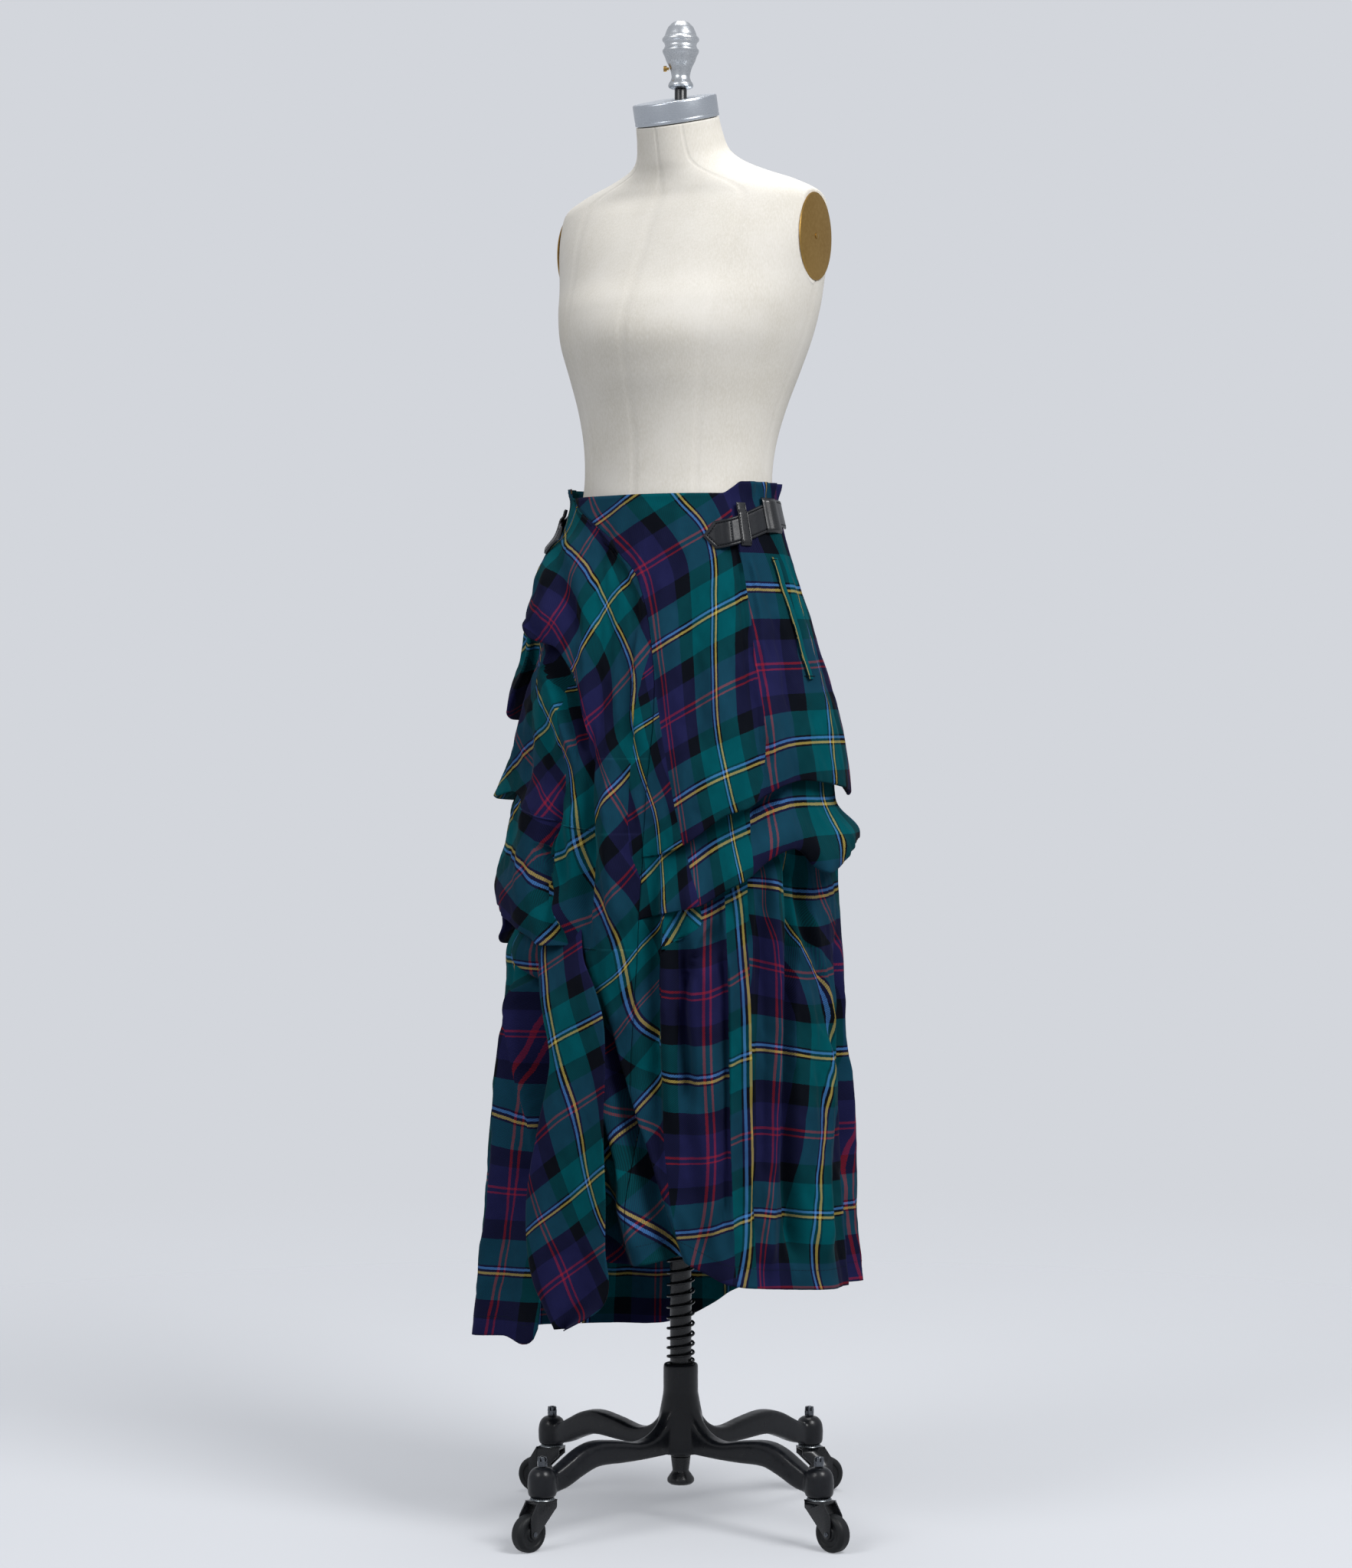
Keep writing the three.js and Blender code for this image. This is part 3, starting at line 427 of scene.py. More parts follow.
# One plain finish: two colours that drift into each other, and a grain or grit `grain` mm across and `depth`
# mm deep, which also makes the roughness change by `spread`.
def makeFinish(name, colour, second, roughness, metallic=0.0, grain=3.0, bump=0.1, depth=0.2, coat=0.0,
               spread=0.08, stretch=(1, 1, 1), specular=0.5):
    material, tree = newMaterial(name)
    place = addNode(tree, "ShaderNodeTexCoord")
    mapping = addNode(tree, "ShaderNodeMapping", {"Vector": place.outputs["Object"], "Scale": stretch})
    cloud = addNode(tree, "ShaderNodeTexNoise", {
        "Vector": place.outputs["Object"], "Scale": 14.0, "Detail": 3.0,
    })
    grit = addNode(tree, "ShaderNodeTexNoise", {
        "Vector": mapping.outputs[0], "Scale": 1000 / grain, "Detail": 4.0,
    })
    both = addNode(tree, "ShaderNodeMath", {
        0: cloud.outputs["Fac"], 1: grit.outputs["Fac"],
    }, operation="MULTIPLY")
    ramp = addNode(tree, "ShaderNodeMapRange", {"Value": both.outputs[0], "From Min": 0.12, "From Max": 0.4})
    tone = addNode(tree, "ShaderNodeMix", {0: ramp.outputs[0]}, data_type="RGBA")
    tone.inputs[6].default_value = toLinear(colour)
    tone.inputs[7].default_value = toLinear(second)
    rough = addNode(tree, "ShaderNodeMapRange", {
        "Value": grit.outputs["Fac"], "From Min": 0.3, "From Max": 0.7,
        "To Min": roughness - spread, "To Max": roughness + spread,
    })
    relief = addNode(tree, "ShaderNodeBump", {
        "Height": grit.outputs["Fac"], "Strength": bump, "Distance": depth / 1000,
    })
    shader = addNode(tree, "ShaderNodeBsdfPrincipled", {
        "Base Color": tone.outputs[2], "Roughness": rough.outputs[0], "Metallic": metallic,
        "Normal": relief.outputs[0], "Coat Weight": coat, "Coat Roughness": 0.12,
        "Specular IOR Level": specular,
    })
    addNode(tree, "ShaderNodeOutputMaterial", {"Surface": shader.outputs[0]})
    return material


tartan = makeTartan()
# bleached linen over papier-mache: warm white, dull, with a slubby grain that runs down the form
linen = makeFinish(
    "bleached_linen", "E6E2DA", "DAD5CA", 0.88, grain=1.6, bump=0.5, depth=0.25, stretch=(1, 1, 0.35))
# sawn and varnished softwood board: tan, with long dark grain lines and a low shine
board = makeFinish("varnished_board", "B08A5C", "8E6A40", 0.55, grain=5.0, bump=0.2, stretch=(0.2, 3, 3))
# vegetable-tanned calf, dyed black: soft wide highlights broken by a fine pebble
leather = makeFinish(
    "black_calf_leather", "121418", "1B1D22", 0.36, grain=1.3, bump=0.2, depth=0.12, specular=0.32)
# the same leather, pressed and polished: flatter, with a thin wax coat
polishedLeather = makeFinish(
    "polished_black_leather", "0C0D10", "15171B", 0.33, grain=1.3, bump=0.06, depth=0.12, coat=0.08)
# sand-cast and tumbled aluminium: bright, with a soft orange-peel skin
castAluminium = makeFinish("cast_aluminium", "DADDE0", "B6BABE", 0.3, metallic=1.0, grain=2.2, bump=0.3)
# spun aluminium: the tool's fine rings smear the highlights round it
spunAluminium = makeFinish(
    "spun_aluminium", "CDD2D8", "B8BEC6", 0.3, metallic=1.0, grain=0.9, bump=0.15, stretch=(0.1, 0.1, 3))
# pressed brass sheet under lacquer: smooth, yellow, one broad highlight
plateBrass = makeFinish(
    "lacquered_brass_plate", "AE8C50", "A07E44", 0.34, metallic=1.0, grain=4.0, bump=0.01, spread=0.02)
# enamelled grey iron: black and glossy over a slightly lumpy cast skin
blackIron = makeFinish(
    "black_enamelled_iron", "101216", "191B20", 0.34, grain=7.0, bump=0.12, depth=0.4, coat=0.1,
    specular=0.28)
# lacquered steel tube and wire: black, even, with long thin highlights
blackSteel = makeFinish(
    "black_lacquered_steel", "0F1013", "181A1D", 0.3, grain=3.0, bump=0.06, coat=0.15, specular=0.4)
# zinc-plated steel: pale grey, slightly cloudy
bareSteel = makeFinish("zinc_plated_steel", "9BA0A4", "7D8286", 0.36, metallic=1.0, grain=2.0, bump=0.1)
# moulded nylon: black and half matt
tread = makeFinish("black_nylon_tread", "121416", "1C1E20", 0.5, grain=2.0, bump=0.1, specular=0.3)
# black zinc on machined steel: dark metal with sharp small glints
nutSteel = makeFinish("black_zinc_steel", "74787E", "34373B", 0.24, metallic=1.0, grain=2.0, bump=0.1)
# spun cotton in the cloth's dark green: matt, a little lighter than the shadows
hemThread = makeFinish("dark_cotton_thread", "101A22", "18242E", 0.85, grain=0.8, bump=0.3, specular=0.1)
# waxed linen thread: black and dull, so that it reads as small dark stitches
thread = makeFinish("waxed_thread", "060708", "0C0D0F", 0.7, grain=0.8, bump=0.3, specular=0.1)
print("materials made")


stand = {
    "turn": 34,  # degrees; the four arms stand at 45 degrees to this
    "poleRadius": 12.6,
    "collar": 342.4,
    "armReach": 222,
    "voxel": 2.0,  # mm, the grain at which the casting's parts are melted together
}
# The dress form's rings by height: half width, depth in front and behind, how far the ring sits towards the
# back, and the degrees that it tips up behind.
formRings = table(
    ("z", "side", "front", "back", "shift", "tilt"),
    (960, 170, 118, 122, 0, 0), (1010, 167, 119, 115, 0, 0), (1060, 157, 114, 105, -1, 0),
    (1110, 144, 105, 95, -3, 0), (1160, 130, 97, 89, -5, 0), (1200, 120.5, 92, 87, -6, 0),
    (1228, 118, 91, 88, -5, 0), (1265, 121, 96, 91, -1, 0), (1305, 130, 108, 97, 5, 0),
    (1345, 143, 126, 103, 12, 0), (1385, 157, 139, 108, 17, 0), (1420, 166, 133, 111, 20, 0),
    (1455, 172, 116, 110, 22, 0), (1500, 180, 97, 102, 24, 0), (1532, 180, 80, 90, 24, 0),
    (1552, 172, 69, 78, 23, 2), (1568, 140, 62, 66, 19, 6), (1580, 104, 57, 59, 15, 9),
    (1592, 73, 53, 55, 10, 12), (1604, 57, 50, 52, 4, 14), (1624, 51, 48, 49, -2, 15),
    (1643, 49, 47, 47, -7, 15),
)
form = {
    "armCut": 170,  # half width between the flat arm openings
    "segments": 180,
    "seams": (0, 38, 92, 142, 180, -142, -92, -38),  # turns of the sewn seams of the linen cover
    "seamDepth": 0.9,
}
neck = {"base": 1643, "top": 1643.4, "radius": 49.6, "height": 25, "tilt": 15, "shift": -7}


def formPoints(z, turn, inset=0.0):
    row = {name: along(formRings, name, z) for name in ("side", "front", "back", "shift", "tilt")}
    angle = np.radians(turn)
    depth = np.where(np.cos(angle) > 0, row["front"], row["back"])
    y = -(depth - inset) * np.cos(angle)
    x = (row["side"] - inset) * np.sin(angle)
    return np.stack([x, y + row["shift"], z + y * np.tan(np.radians(row["tilt"]))], -1)


def makeTorso():
    heights = np.concatenate([np.arange(formBottom, 1544, 4.0), np.arange(1544, neck["base"] + 0.1, 2.0)])
    turns = np.arange(form["segments"]) * 360 / form["segments"]
    points = []
    for z in heights:
        seam = np.zeros(len(turns))
        for turn in form["seams"]:
            off = np.abs((turns - turn + 180) % 360 - 180)
            seam += np.exp(-(off / 0.8) ** 2)
        points.append(formPoints(z, turns, form["seamDepth"] * seam))
    rows = len(points)
    columns = len(turns)
    faces = [face[::-1] for face in gridFaces(rows, columns, closed=True)]
    # both ends are closed, under the bottom board and the neck cap
    bottom = rows * columns
    last = bottom - columns
    faces += [(bottom, (j + 1) % columns, j) for j in range(columns)]
    faces += [(last + j, last + (j + 1) % columns, bottom + 1) for j in range(columns)]
    points = np.concatenate(points + [[[0, 0, formBottom], [0, neck["shift"], neck["base"]]]])
    torso = makeMesh("dress_form", points, faces, linen)
    shape = bmesh.new()
    shape.from_mesh(torso.data)
    for side in (-1, 1):
        plane = Vector((origin[0] + side * form["armCut"] / 1000, 0, 0))
        cut = bmesh.ops.bisect_plane(
            shape, geom=shape.verts[:] + shape.edges[:] + shape.faces[:], plane_co=plane,
            plane_no=Vector((side, 0, 0)), clear_outer=True, dist=1e-6)
        rim = [e for e in cut["geom_cut"] if isinstance(e, bmesh.types.BMEdge)]
        cap = bmesh.ops.contextual_create(shape, geom=rim)["faces"]
        # the covering turns in over the edge of the opening
        inner = bmesh.ops.inset_region(shape, faces=cap, thickness=0.0015, depth=0.0006)
        for face in cap + inner["faces"]:
            face.smooth = False
    shape.to_mesh(torso.data)
    shape.free()
    recalculate(torso)
    finish(torso, "form", ["form_torso"])


makeTorso()


armPlate = {"width": 34, "height": 51, "y": 24, "z": 1499}


# A low crowned oval on one of the form's flat arm openings.
def ellipsePlate(side, width, height, low, high, crown, segments=72):
    profile = [
        (0, low), (1, low), (1, (low + high) / 2), (0.985, high), (0.9, high + crown * 0.3),
        (0.6, high + crown * 0.75), (0.3, high + crown * 0.95), (0, high + crown),
    ]
    points, faces = turnedShape(profile, segments)
    y, z = armPlate["y"], armPlate["z"]
    return [(side * (form["armCut"] + h), y + width * a, z + height * b) for a, b, h in points], faces


def makeArmPlates():
    for side, name in ((1, "left"), (-1, "right")):
        plate = ellipsePlate(side, armPlate["width"], armPlate["height"], 0.4, 2.2, 0.8)
        screw = ellipsePlate(side, 3.4, 3.4, 2.9, 3.6, 0.5, 20)
        piece = makeMesh(f"arm_plate_{name}_finish", *joinShapes(plate, screw), plateBrass)
        sharpen(recalculate(piece))
        finish(piece, "form", [f"arm_plate_{name}"])


makeArmPlates()


def turnedPiece(name, profile, material, body, replaces, segments=64, matrix=None, sharp=40):
    points, faces = turnedShape(profile, segments)
    if matrix is not None:
        points = transformPoints(points, matrix)
    piece = makeMesh(name, points, faces, material)
    sharpen(recalculate(piece), sharp)
    finish(piece, body, replaces)


finial = {"foot": 1681.5, "spigot": 7.2}
finialOutline = [
    (0, 0), (7.5, 0), (13.5, 1.5), (15, 3.7), (14.2, 6.7), (12, 9.7), (10.5, 14.2), (11.6, 20.2),
    (13.4, 26.1), (16.7, 32.1), (18.7, 38.1), (21, 42.6), (21.7, 45.3), (20, 47), (18.2, 50.8), (19.4, 54.5),
    (21.7, 56.8), (21.7, 59.3), (19, 62), (17.6, 66.5), (15, 72.5), (9, 78.4), (0, 81.1),
]


def makeNeck():
    tilt = Matrix.Translation((0, neck["shift"], neck["top"]))
    tilt = tilt @ Matrix.Rotation(math.radians(neck["tilt"]), 4, "X")
    radius, height = neck["radius"], neck["height"]
    hole = finial["spigot"] + 0.8
    outline = [
        (0, 0), (radius, 0), (radius, 3.2), (radius - 0.5, 3.6), (radius - 0.5, 4.2), (radius, 4.6),
        (radius, height - 1.4), (radius - 1.4, height), (hole + 3, height - 0.6), (0, height - 0.6),
    ]
    rim = rounded(outline, 0.7, 3)
    turnedPiece("neck_cap_finish", rim, spunAluminium, "form", ["neck_cap"], 96, tilt)
    lifted = [(radius, finial["foot"] + height) for radius, height in rounded(finialOutline, 1.6, 3)]
    turnedPiece("finial_cast", lifted, castAluminium, "pole", ["finial"], 72, None, 60)
    # the knurled set screw at its neck
    turn = math.radians(view["azimuth"])
    across = Matrix.Translation((-13.6 * math.cos(turn), -13.6 * math.sin(turn), finial["foot"] + 24))
    across = across @ Matrix.Rotation(turn, 4, "Z") @ Matrix.Rotation(-math.pi / 2, 4, "Y")
    outline = [(0, 0), (1.6, 0), (1.6, 2.6), (3.3, 2.8), (3.5, 3.4), (3.5, 5.8), (3.1, 6.6), (0, 6.8)]
    turnedPiece("set_screw_finish", outline, plateBrass, "pole", ["finial_set_screw"],
                12, across, 20)


makeNeck()


boardEdge = [(959.6, 4.6), (956, 4.2), (951.6, 5.2), (951, 20)]  # height, and distance inside the form's edge


def makeBoard():
    turns = np.arange(120) * 3.0
    angles = np.radians(turns)
    rings = []
    for height, inset in boardEdge:
        ring = formPoints(formBottom, turns, inset)
        ring[:, 2] = height
        rings.append(ring)
    hole = stand["poleRadius"] + 1
    for height in (951.0, 959.6):
        rings.append(np.stack([hole * np.sin(angles), -hole * np.cos(angles), height + 0 * turns], -1))
    faces = gridFaces(len(rings) + 1, len(turns), closed=True)
    piece = makeMesh("bottom_board_finish", np.concatenate(rings + rings[:1]), faces, board)
    sharpen(recalculate(piece))
    finish(piece, "form", ["form_bottom_board"])


makeBoard()
print("dress form made")


# The skirt's rings by height, as the form's are. `ease` is how much further the right side stands out.
clothThickness = 2
panel = {
    "step": 3.7,  # mm between a panel's rows
    "columns": 154,
    "thickness": 1.3,
    "foldDepth": 1.35,  # how much deeper the creases are than their tables say
    "tuckRadius": 2.6,
    "seed": 3.0,
}
degreeLength = 3.3  # mm of cloth in a degree round the hips
skirtRings = table(
    ("z", "side", "front", "back", "shift", "ease"),
    (1216, 126, 93, 94, -5.6, 10), (1200, 125, 94, 93, -6, 10), (1185, 127.5, 98, 94.5, -5.8, 10),
    (1160, 133.5, 105, 98, -5, 12), (1143, 138, 109, 100, -5, 20), (1110, 147, 116, 104, -4, 24),
    (1088, 153, 122, 109, -4, 18), (1060, 161, 128, 115, -4, 16), (1023, 168, 136, 119, -4, 6),
    (958, 182, 146, 133, -5, 6), (880, 194, 156, 146, -8, -3), (831, 199, 161, 151, -9, 8),
    (765, 200, 164, 151, -9, 3), (706, 204, 167, 154, -9, -7), (674, 206, 168, 156, -9, 5),
    (640, 209, 169, 157, -9, 3), (560, 213, 173, 160, -9, 8), (480, 218, 178, 164, -10, 12),
    (400, 223, 181, 168, -10, 15), (300, 232, 184, 175, -10, 16), (200, 240, 188, 181, -10, 18),
)


def clearOfForm(points):
    z = np.maximum(points[..., 2], formBottom)
    room = clothThickness + mix(2.2, 0.75, smooth(points[..., 2], 1180, 1198))
    y = points[..., 1] - along(formRings, "shift", z)
    depth = np.where(y < 0, along(formRings, "front", z), along(formRings, "back", z))
    reach = np.hypot(points[..., 0] / (along(formRings, "side", z) + room), y / (depth + room))
    inside = (reach < 1) & (points[..., 2] >= formBottom - 30)
    scale = np.where(inside, 1 / np.maximum(reach, 1e-6), 1)
    result = points.copy()
    result[..., 0] *= scale
    result[..., 1] = points[..., 1] - y + y * scale
    return result


def skirtPoints(turn, z, lift=0.0):
    turn = np.asarray(turn, float)
    z = np.asarray(z, float) + 0 * turn
    angle = np.radians(turn)
    signed = np.where(turn > 180, turn - 360, turn)
    easeShare = smooth(-signed, 8, 40) * (1 - smooth(-signed, 95, 150))
    out = lift + along(skirtRings, "ease", z) * easeShare
    side = along(skirtRings, "side", z)
    share = smooth(np.cos(angle), -0.25, 0.25)
    depth = mix(along(skirtRings, "back", z), along(skirtRings, "front", z), share)
    x = side * np.sin(angle)
    y = -depth * np.cos(angle)
    normal = np.stack([x / side ** 2, y / depth ** 2], -1)
    normal /= np.linalg.norm(normal, axis=-1, keepdims=True)
    x = x + normal[..., 0] * out
    y = y + normal[..., 1] * out + along(skirtRings, "shift", z)
    return clearOfForm(np.stack([x, y, z], -1))


# Soft folds: each is a ridge, or a trough where `depth` is negative, from one height and turn to another. It
# bows out from the straight line, is steeper on the side that it leans to, and doesn't fade at an open end.
foldColumns = (
    "top", "topTurn", "foot", "footTurn", "bow", "topWidth", "footWidth", "depth", "lean", "topOpen",
    "footOpen",
)


def foldsAt(folds, turn, z):
    out = np.zeros(np.broadcast(turn, z).shape)
    for row in folds:
        fold = dict(zip(foldColumns, row))
        t = (fold["top"] - z) / (fold["top"] - fold["foot"])
        centre = mix(fold["topTurn"], fold["footTurn"], t) + fold["bow"] * 4 * t * (1 - t)
        width = mix(fold["topWidth"], fold["footWidth"], np.clip(t, 0, 1))
        right = 1 - 0.8 * max(fold["lean"], 0)
        left = 1 + 0.8 * min(fold["lean"], 0)
        off = (turn - centre) / (width * np.where(turn > centre, right, left))
        fade = 1 if fold["topOpen"] else smooth(t, -0.15, 0.25)
        end = 1 if fold["footOpen"] else smooth(1.15 - t, 0, 0.4)
        live = (np.abs(off) <= 1) & (t >= -0.15) & (t <= 1.15)
        out = out + np.where(live, fold["depth"] * (0.5 + 0.5 * np.cos(np.pi * off)) * fade * end, 0)
    return out


frontSeam = table(
    ("z", "turn"),
    (1225, -60), (1200, -46), (1165, -20), (1130, -2), (1105, 8), (1055, 15), (980, 19), (850, 18), (700, 16),
    (560, 14), (200, 14),
)
sideSeam = 122


def seamTurn(z):
    return along(frontSeam, "turn", z)


def waistHeight(turn):
    side = np.abs(turn)
    return mix(1201, 1215, smooth(side, 52, 66) * (1 - smooth(side, 118, 130)))


def gatherWave(turn, z):
    side = np.abs(turn)
    wave = 5.5 * (0.5 + 0.5 * np.cos(np.radians(turn * 30)))
    return smooth(z, 1188, 1212) * wave * smooth(side, 56, 66) * (1 - smooth(side, 114, 124))


# The tucks of each panel from the top: the height of the turned edge, and how far it stands out, by turn.
tuckColumns = ("turn", "edge", "lip")
leftTucks = [
    table(
        tuckColumns, (14, 785, 0), (24, 790, 5), (33, 802, 14), (45, 832, 20), (53, 841, 21), (60, 856, 20),
        (67, 867, 17), (77, 872, 15), (100, 864, 19), (122, 854, 20)),
    table(
        tuckColumns, (14, 715, 0), (24, 722, 6), (38, 733, 16), (45, 748, 22), (52, 761, 24), (61, 785, 24),
        (68, 795, 26), (73, 790, 28), (80, 768, 34), (88, 775, 33), (96, 790, 31), (104, 800, 29),
        (112, 805, 27), (122, 808, 23)),
]
rightTucks = [
    table(
        tuckColumns, (-2, 900, 0), (-5, 912, 3), (-9, 966, 9), (-16, 1001, 15), (-23, 1024, 20),
        (-32, 1032, 24), (-44, 1050, 20), (-56, 1056, 12), (-66, 990, 20), (-75, 950, 34), (-90, 942, 36),
        (-122, 936, 30)),
    table(
        tuckColumns, (-2, 815, 0), (-40, 846, 0), (-52, 858, 8), (-62, 853, 24), (-75, 848, 30),
        (-122, 842, 26)),
    table(
        tuckColumns, (1, 684, 0), (-6, 684, 0), (-11, 684, 1), (-15, 683, 12), (-19, 684, 23), (-28, 698, 28),
        (-42, 712, 28), (-56, 723, 26), (-64, 712, 20), (-72, 682, 20), (-82, 674, 22), (-122, 668, 20)),
]
leftHem = table(
    ("turn", "z"), (14, 325), (24, 332), (29, 334), (37, 320), (44, 309), (58, 301), (77, 298), (122, 295))
rightHem = table(
    ("turn", "z"), (-122, 201), (-85, 205), (-56, 220), (-30, 231), (-17, 237), (-15.2, 318), (14, 325))
backHem = table(
    ("turn", "z"), (122, 295), (150, 293), (165, 285), (178, 264), (189, 246), (196, 228), (203, 213),
    (212, 204), (238, 201))
leftFolds = [
    (1150, 64, 860, 58, 0, 7, 7, -9, 0.7, 0, 0), (780, 22, 440, 23, 0, 6, 7, -14, 0.8, 0, 0),
    (600, 4, 300, 31, 0, 7, 10, -34, 0.8, 0, 1), (770, 34, 300, 44, -3, 8, 12, 12, -0.6, 0, 1),
    (740, 57, 300, 62, 0, 8, 10, -8, 0.2, 0, 1), (790, 75, 560, 92, 0, 8, 9, -18, 0.7, 0, 0),
    (560, 74, 300, 80, 0, 10, 12, 10, 0.3, 0, 1), (690, 102, 300, 98, 0, 10, 10, -12, -0.4, 0, 1),
    (560, 112, 380, 116, 0, 12, 12, 8, 0, 0, 0),
]
frontFolds = leftFolds + [
    (1150, -40, 1040, -14, 0, 8, 8, -7, 0, 0, 0), (930, -5, 700, -3, 0, 6, 7, -14, 0.7, 0, 0),
    (840, -17, 730, -15, 0, 6, 8, -16, 0.2, 0, 0), (1010, -38, 740, -32, 6, 14, 16, 10, 0, 0, 0),
    (900, 4, 620, 7, 0, 9, 10, 6, 0, 0, 0), (680, -24, 380, -22, 0, 8, 10, -26, 0.3, 0, 0),
    (640, -13, 300, 22, 0, 7, 8, 8, 0, 0, 1), (560, -8, 300, 13, 0, 7, 8, -22, 0.2, 0, 1),
    (660, -38, 220, -40, 0, 8, 12, 14, 0.2, 0, 1),
    (700, -52, 240, -54, 0, 9, 14, -10, 0, 0, 1), (640, -84, 220, -92, 0, 12, 16, -8, 0, 0, 1),
]
backFolds = [
    (930, 150, 210, 146, 0, 10, 14, -10, 0, 0, 1), (930, 178, 210, 182, 0, 10, 14, -12, 0, 0, 1),
    (930, 206, 210, 212, 0, 10, 14, -10, 0, 0, 1), (1130, 164, 210, 162, 0, 8, 13, 6, 0, 0, 1),
    (1130, 196, 210, 198, 0, 8, 13, 6, 0, 0, 1),
]


# Sharper folds: each follows a path of turns and heights, walked downwards. Then come the mm over which it
# falls away on the side of smaller turns and on the other side, and how far it stands out, or sinks in.
leftCreases = [
    # the hip pleat
    ([(59, 1185), (60, 1101), (59, 1057), (60, 1016), (59, 970), (60, 932), (58, 880)], 2.5, 34, 5.5),
    ([(56, 1185), (57, 1101), (56, 1016), (57, 932)], 9, 4, -3),
    ([(36, 700), (33, 689), (31, 654), (30, 613), (32, 560), (33, 500)], 11, 12, -13),
    ([(28, 690), (27, 640), (27, 560), (28, 470)], 10, 12, 6),
    ([(38, 690), (39, 640), (40, 560), (40, 480)], 10, 14, 7),
    ([(44, 700), (45, 640), (45, 500), (44, 400), (41, 345)], 8, 4, -6),
    ([(44, 745), (46, 654), (46, 514), (46, 430), (45, 330)], 2.5, 14, 6),
    ([(56, 757), (56, 711), (55, 642), (54, 513), (53, 436), (50, 330)], 14, 2.5, 6),
    ([(63, 790), (64, 728), (64, 670), (63, 584), (62, 512), (60, 400), (57, 310)], 14, 14, 9),
    ([(71, 800), (72, 741), (72, 698), (69, 641), (68, 583), (67, 512), (67, 400), (68, 319)], 13, 14, -15),
    ([(74, 700), (84, 655), (89, 600), (88, 540), (84, 480), (80, 400), (78, 320)], 20, 22, 8),
    ([(104, 700), (106, 606), (105, 518), (104, 400)], 16, 16, -9),
    ([(43, 722), (39, 700), (33, 660), (29, 630)], 2, 26, -8),  # under the flap
    ([(25, 760), (25, 710), (24, 650), (23, 572), (24, 526)], 3, 16, 7),  # the flap's front edge
    ([(70, 860), (64, 846), (58, 838), (54, 824)], 16, 4, -8),  # hollow under the upper tuck
    ([(92, 1180), (90, 1120), (89, 1040), (92, 960), (96, 900)], 22, 26, 4),
    ([(74, 1160), (73, 1080), (74, 1000), (72, 930)], 18, 18, -4),
    ([(46, 1130), (44, 1060), (43, 990), (46, 900)], 20, 20, 3),
    ([(34, 1120), (33, 1050), (35, 980), (38, 880)], 18, 18, -3),
]
frontCreases = leftCreases + [
    ([(-38, 1030), (-33, 1007), (-26, 989), (-21, 962), (-16, 935), (-13, 912), (-12, 883)], 34, 3, 11),
    ([(-30, 1010), (-22, 985), (-17, 960), (-12, 935), (-9, 912), (-8, 890)], 5, 16, -13),
    ([(-25, 800), (-22, 785), (-20, 770), (-21, 750)], 8, 6, -18),
    ([(-14, 853), (-18, 800), (-18, 760), (-12, 708), (-10, 685)], 3, 30, 9),
    ([(-20, 830), (-23, 770), (-18, 715)], 12, 6, -9),
    ([(-52, 672), (-42, 650), (-31, 634), (-27, 590), (-25, 558), (-22, 500), (-20, 440)], 18, 14, -22),
    ([(-37, 655), (-35, 604), (-32, 560), (-29, 522), (-26, 480), (-24, 420)], 10, 6, 10),
    ([(-46, 640), (-44, 560), (-42, 460), (-42, 330)], 14, 14, -8),
    ([(11, 1060), (11, 999), (11, 955), (13, 923), (15, 897)], 2.5, 20, 4),
    ([(-20, 1154), (-3, 1120), (8, 1081), (12, 1028)], 22, 10, -3),
    ([(-42, 1062), (-37, 1042), (-32, 1026)], 16, 10, 5),  # the gathered knob over the upper tuck
    ([(-5, 548), (-1, 520), (4, 483), (8, 442), (10, 380)], 12, 9, -12),
    ([(3, 590), (7, 530), (11, 470), (13, 420)], 14, 12, 8),
    ([(-4, 870), (-3, 820), (0, 760), (5, 700)], 14, 14, -5),
    ([(4, 880), (5, 820), (7, 760), (10, 690)], 16, 16, 5),
    ([(-20, 1130), (-12, 1058), (-9, 999), (-7, 941), (-6, 883)], 22, 16, 5),
    ([(-60, 1130), (-66, 1060), (-72, 980)], 20, 20, -6),
    ([(-85, 1150), (-88, 1060), (-90, 970)], 20, 20, 5),
    ([(-75, 640), (-78, 500), (-82, 240)], 20, 20, -10),
    ([(-100, 640), (-104, 500), (-108, 240)], 20, 20, 9),
]
backCreases = [
    ([(136, 1170), (138, 900), (134, 600), (132, 300)], 18, 22, 6),
    ([(152, 1180), (154, 900), (152, 600), (150, 300)], 16, 18, -8),
    ([(170, 1180), (170, 800), (168, 500), (170, 280)], 20, 18, 9),
    ([(186, 1180), (186, 800), (188, 500), (190, 260)], 18, 20, -9),
    ([(202, 1180), (204, 800), (204, 500), (208, 230)], 18, 20, 8),
    ([(222, 1180), (222, 800), (226, 500), (228, 220)], 18, 20, -7),
]


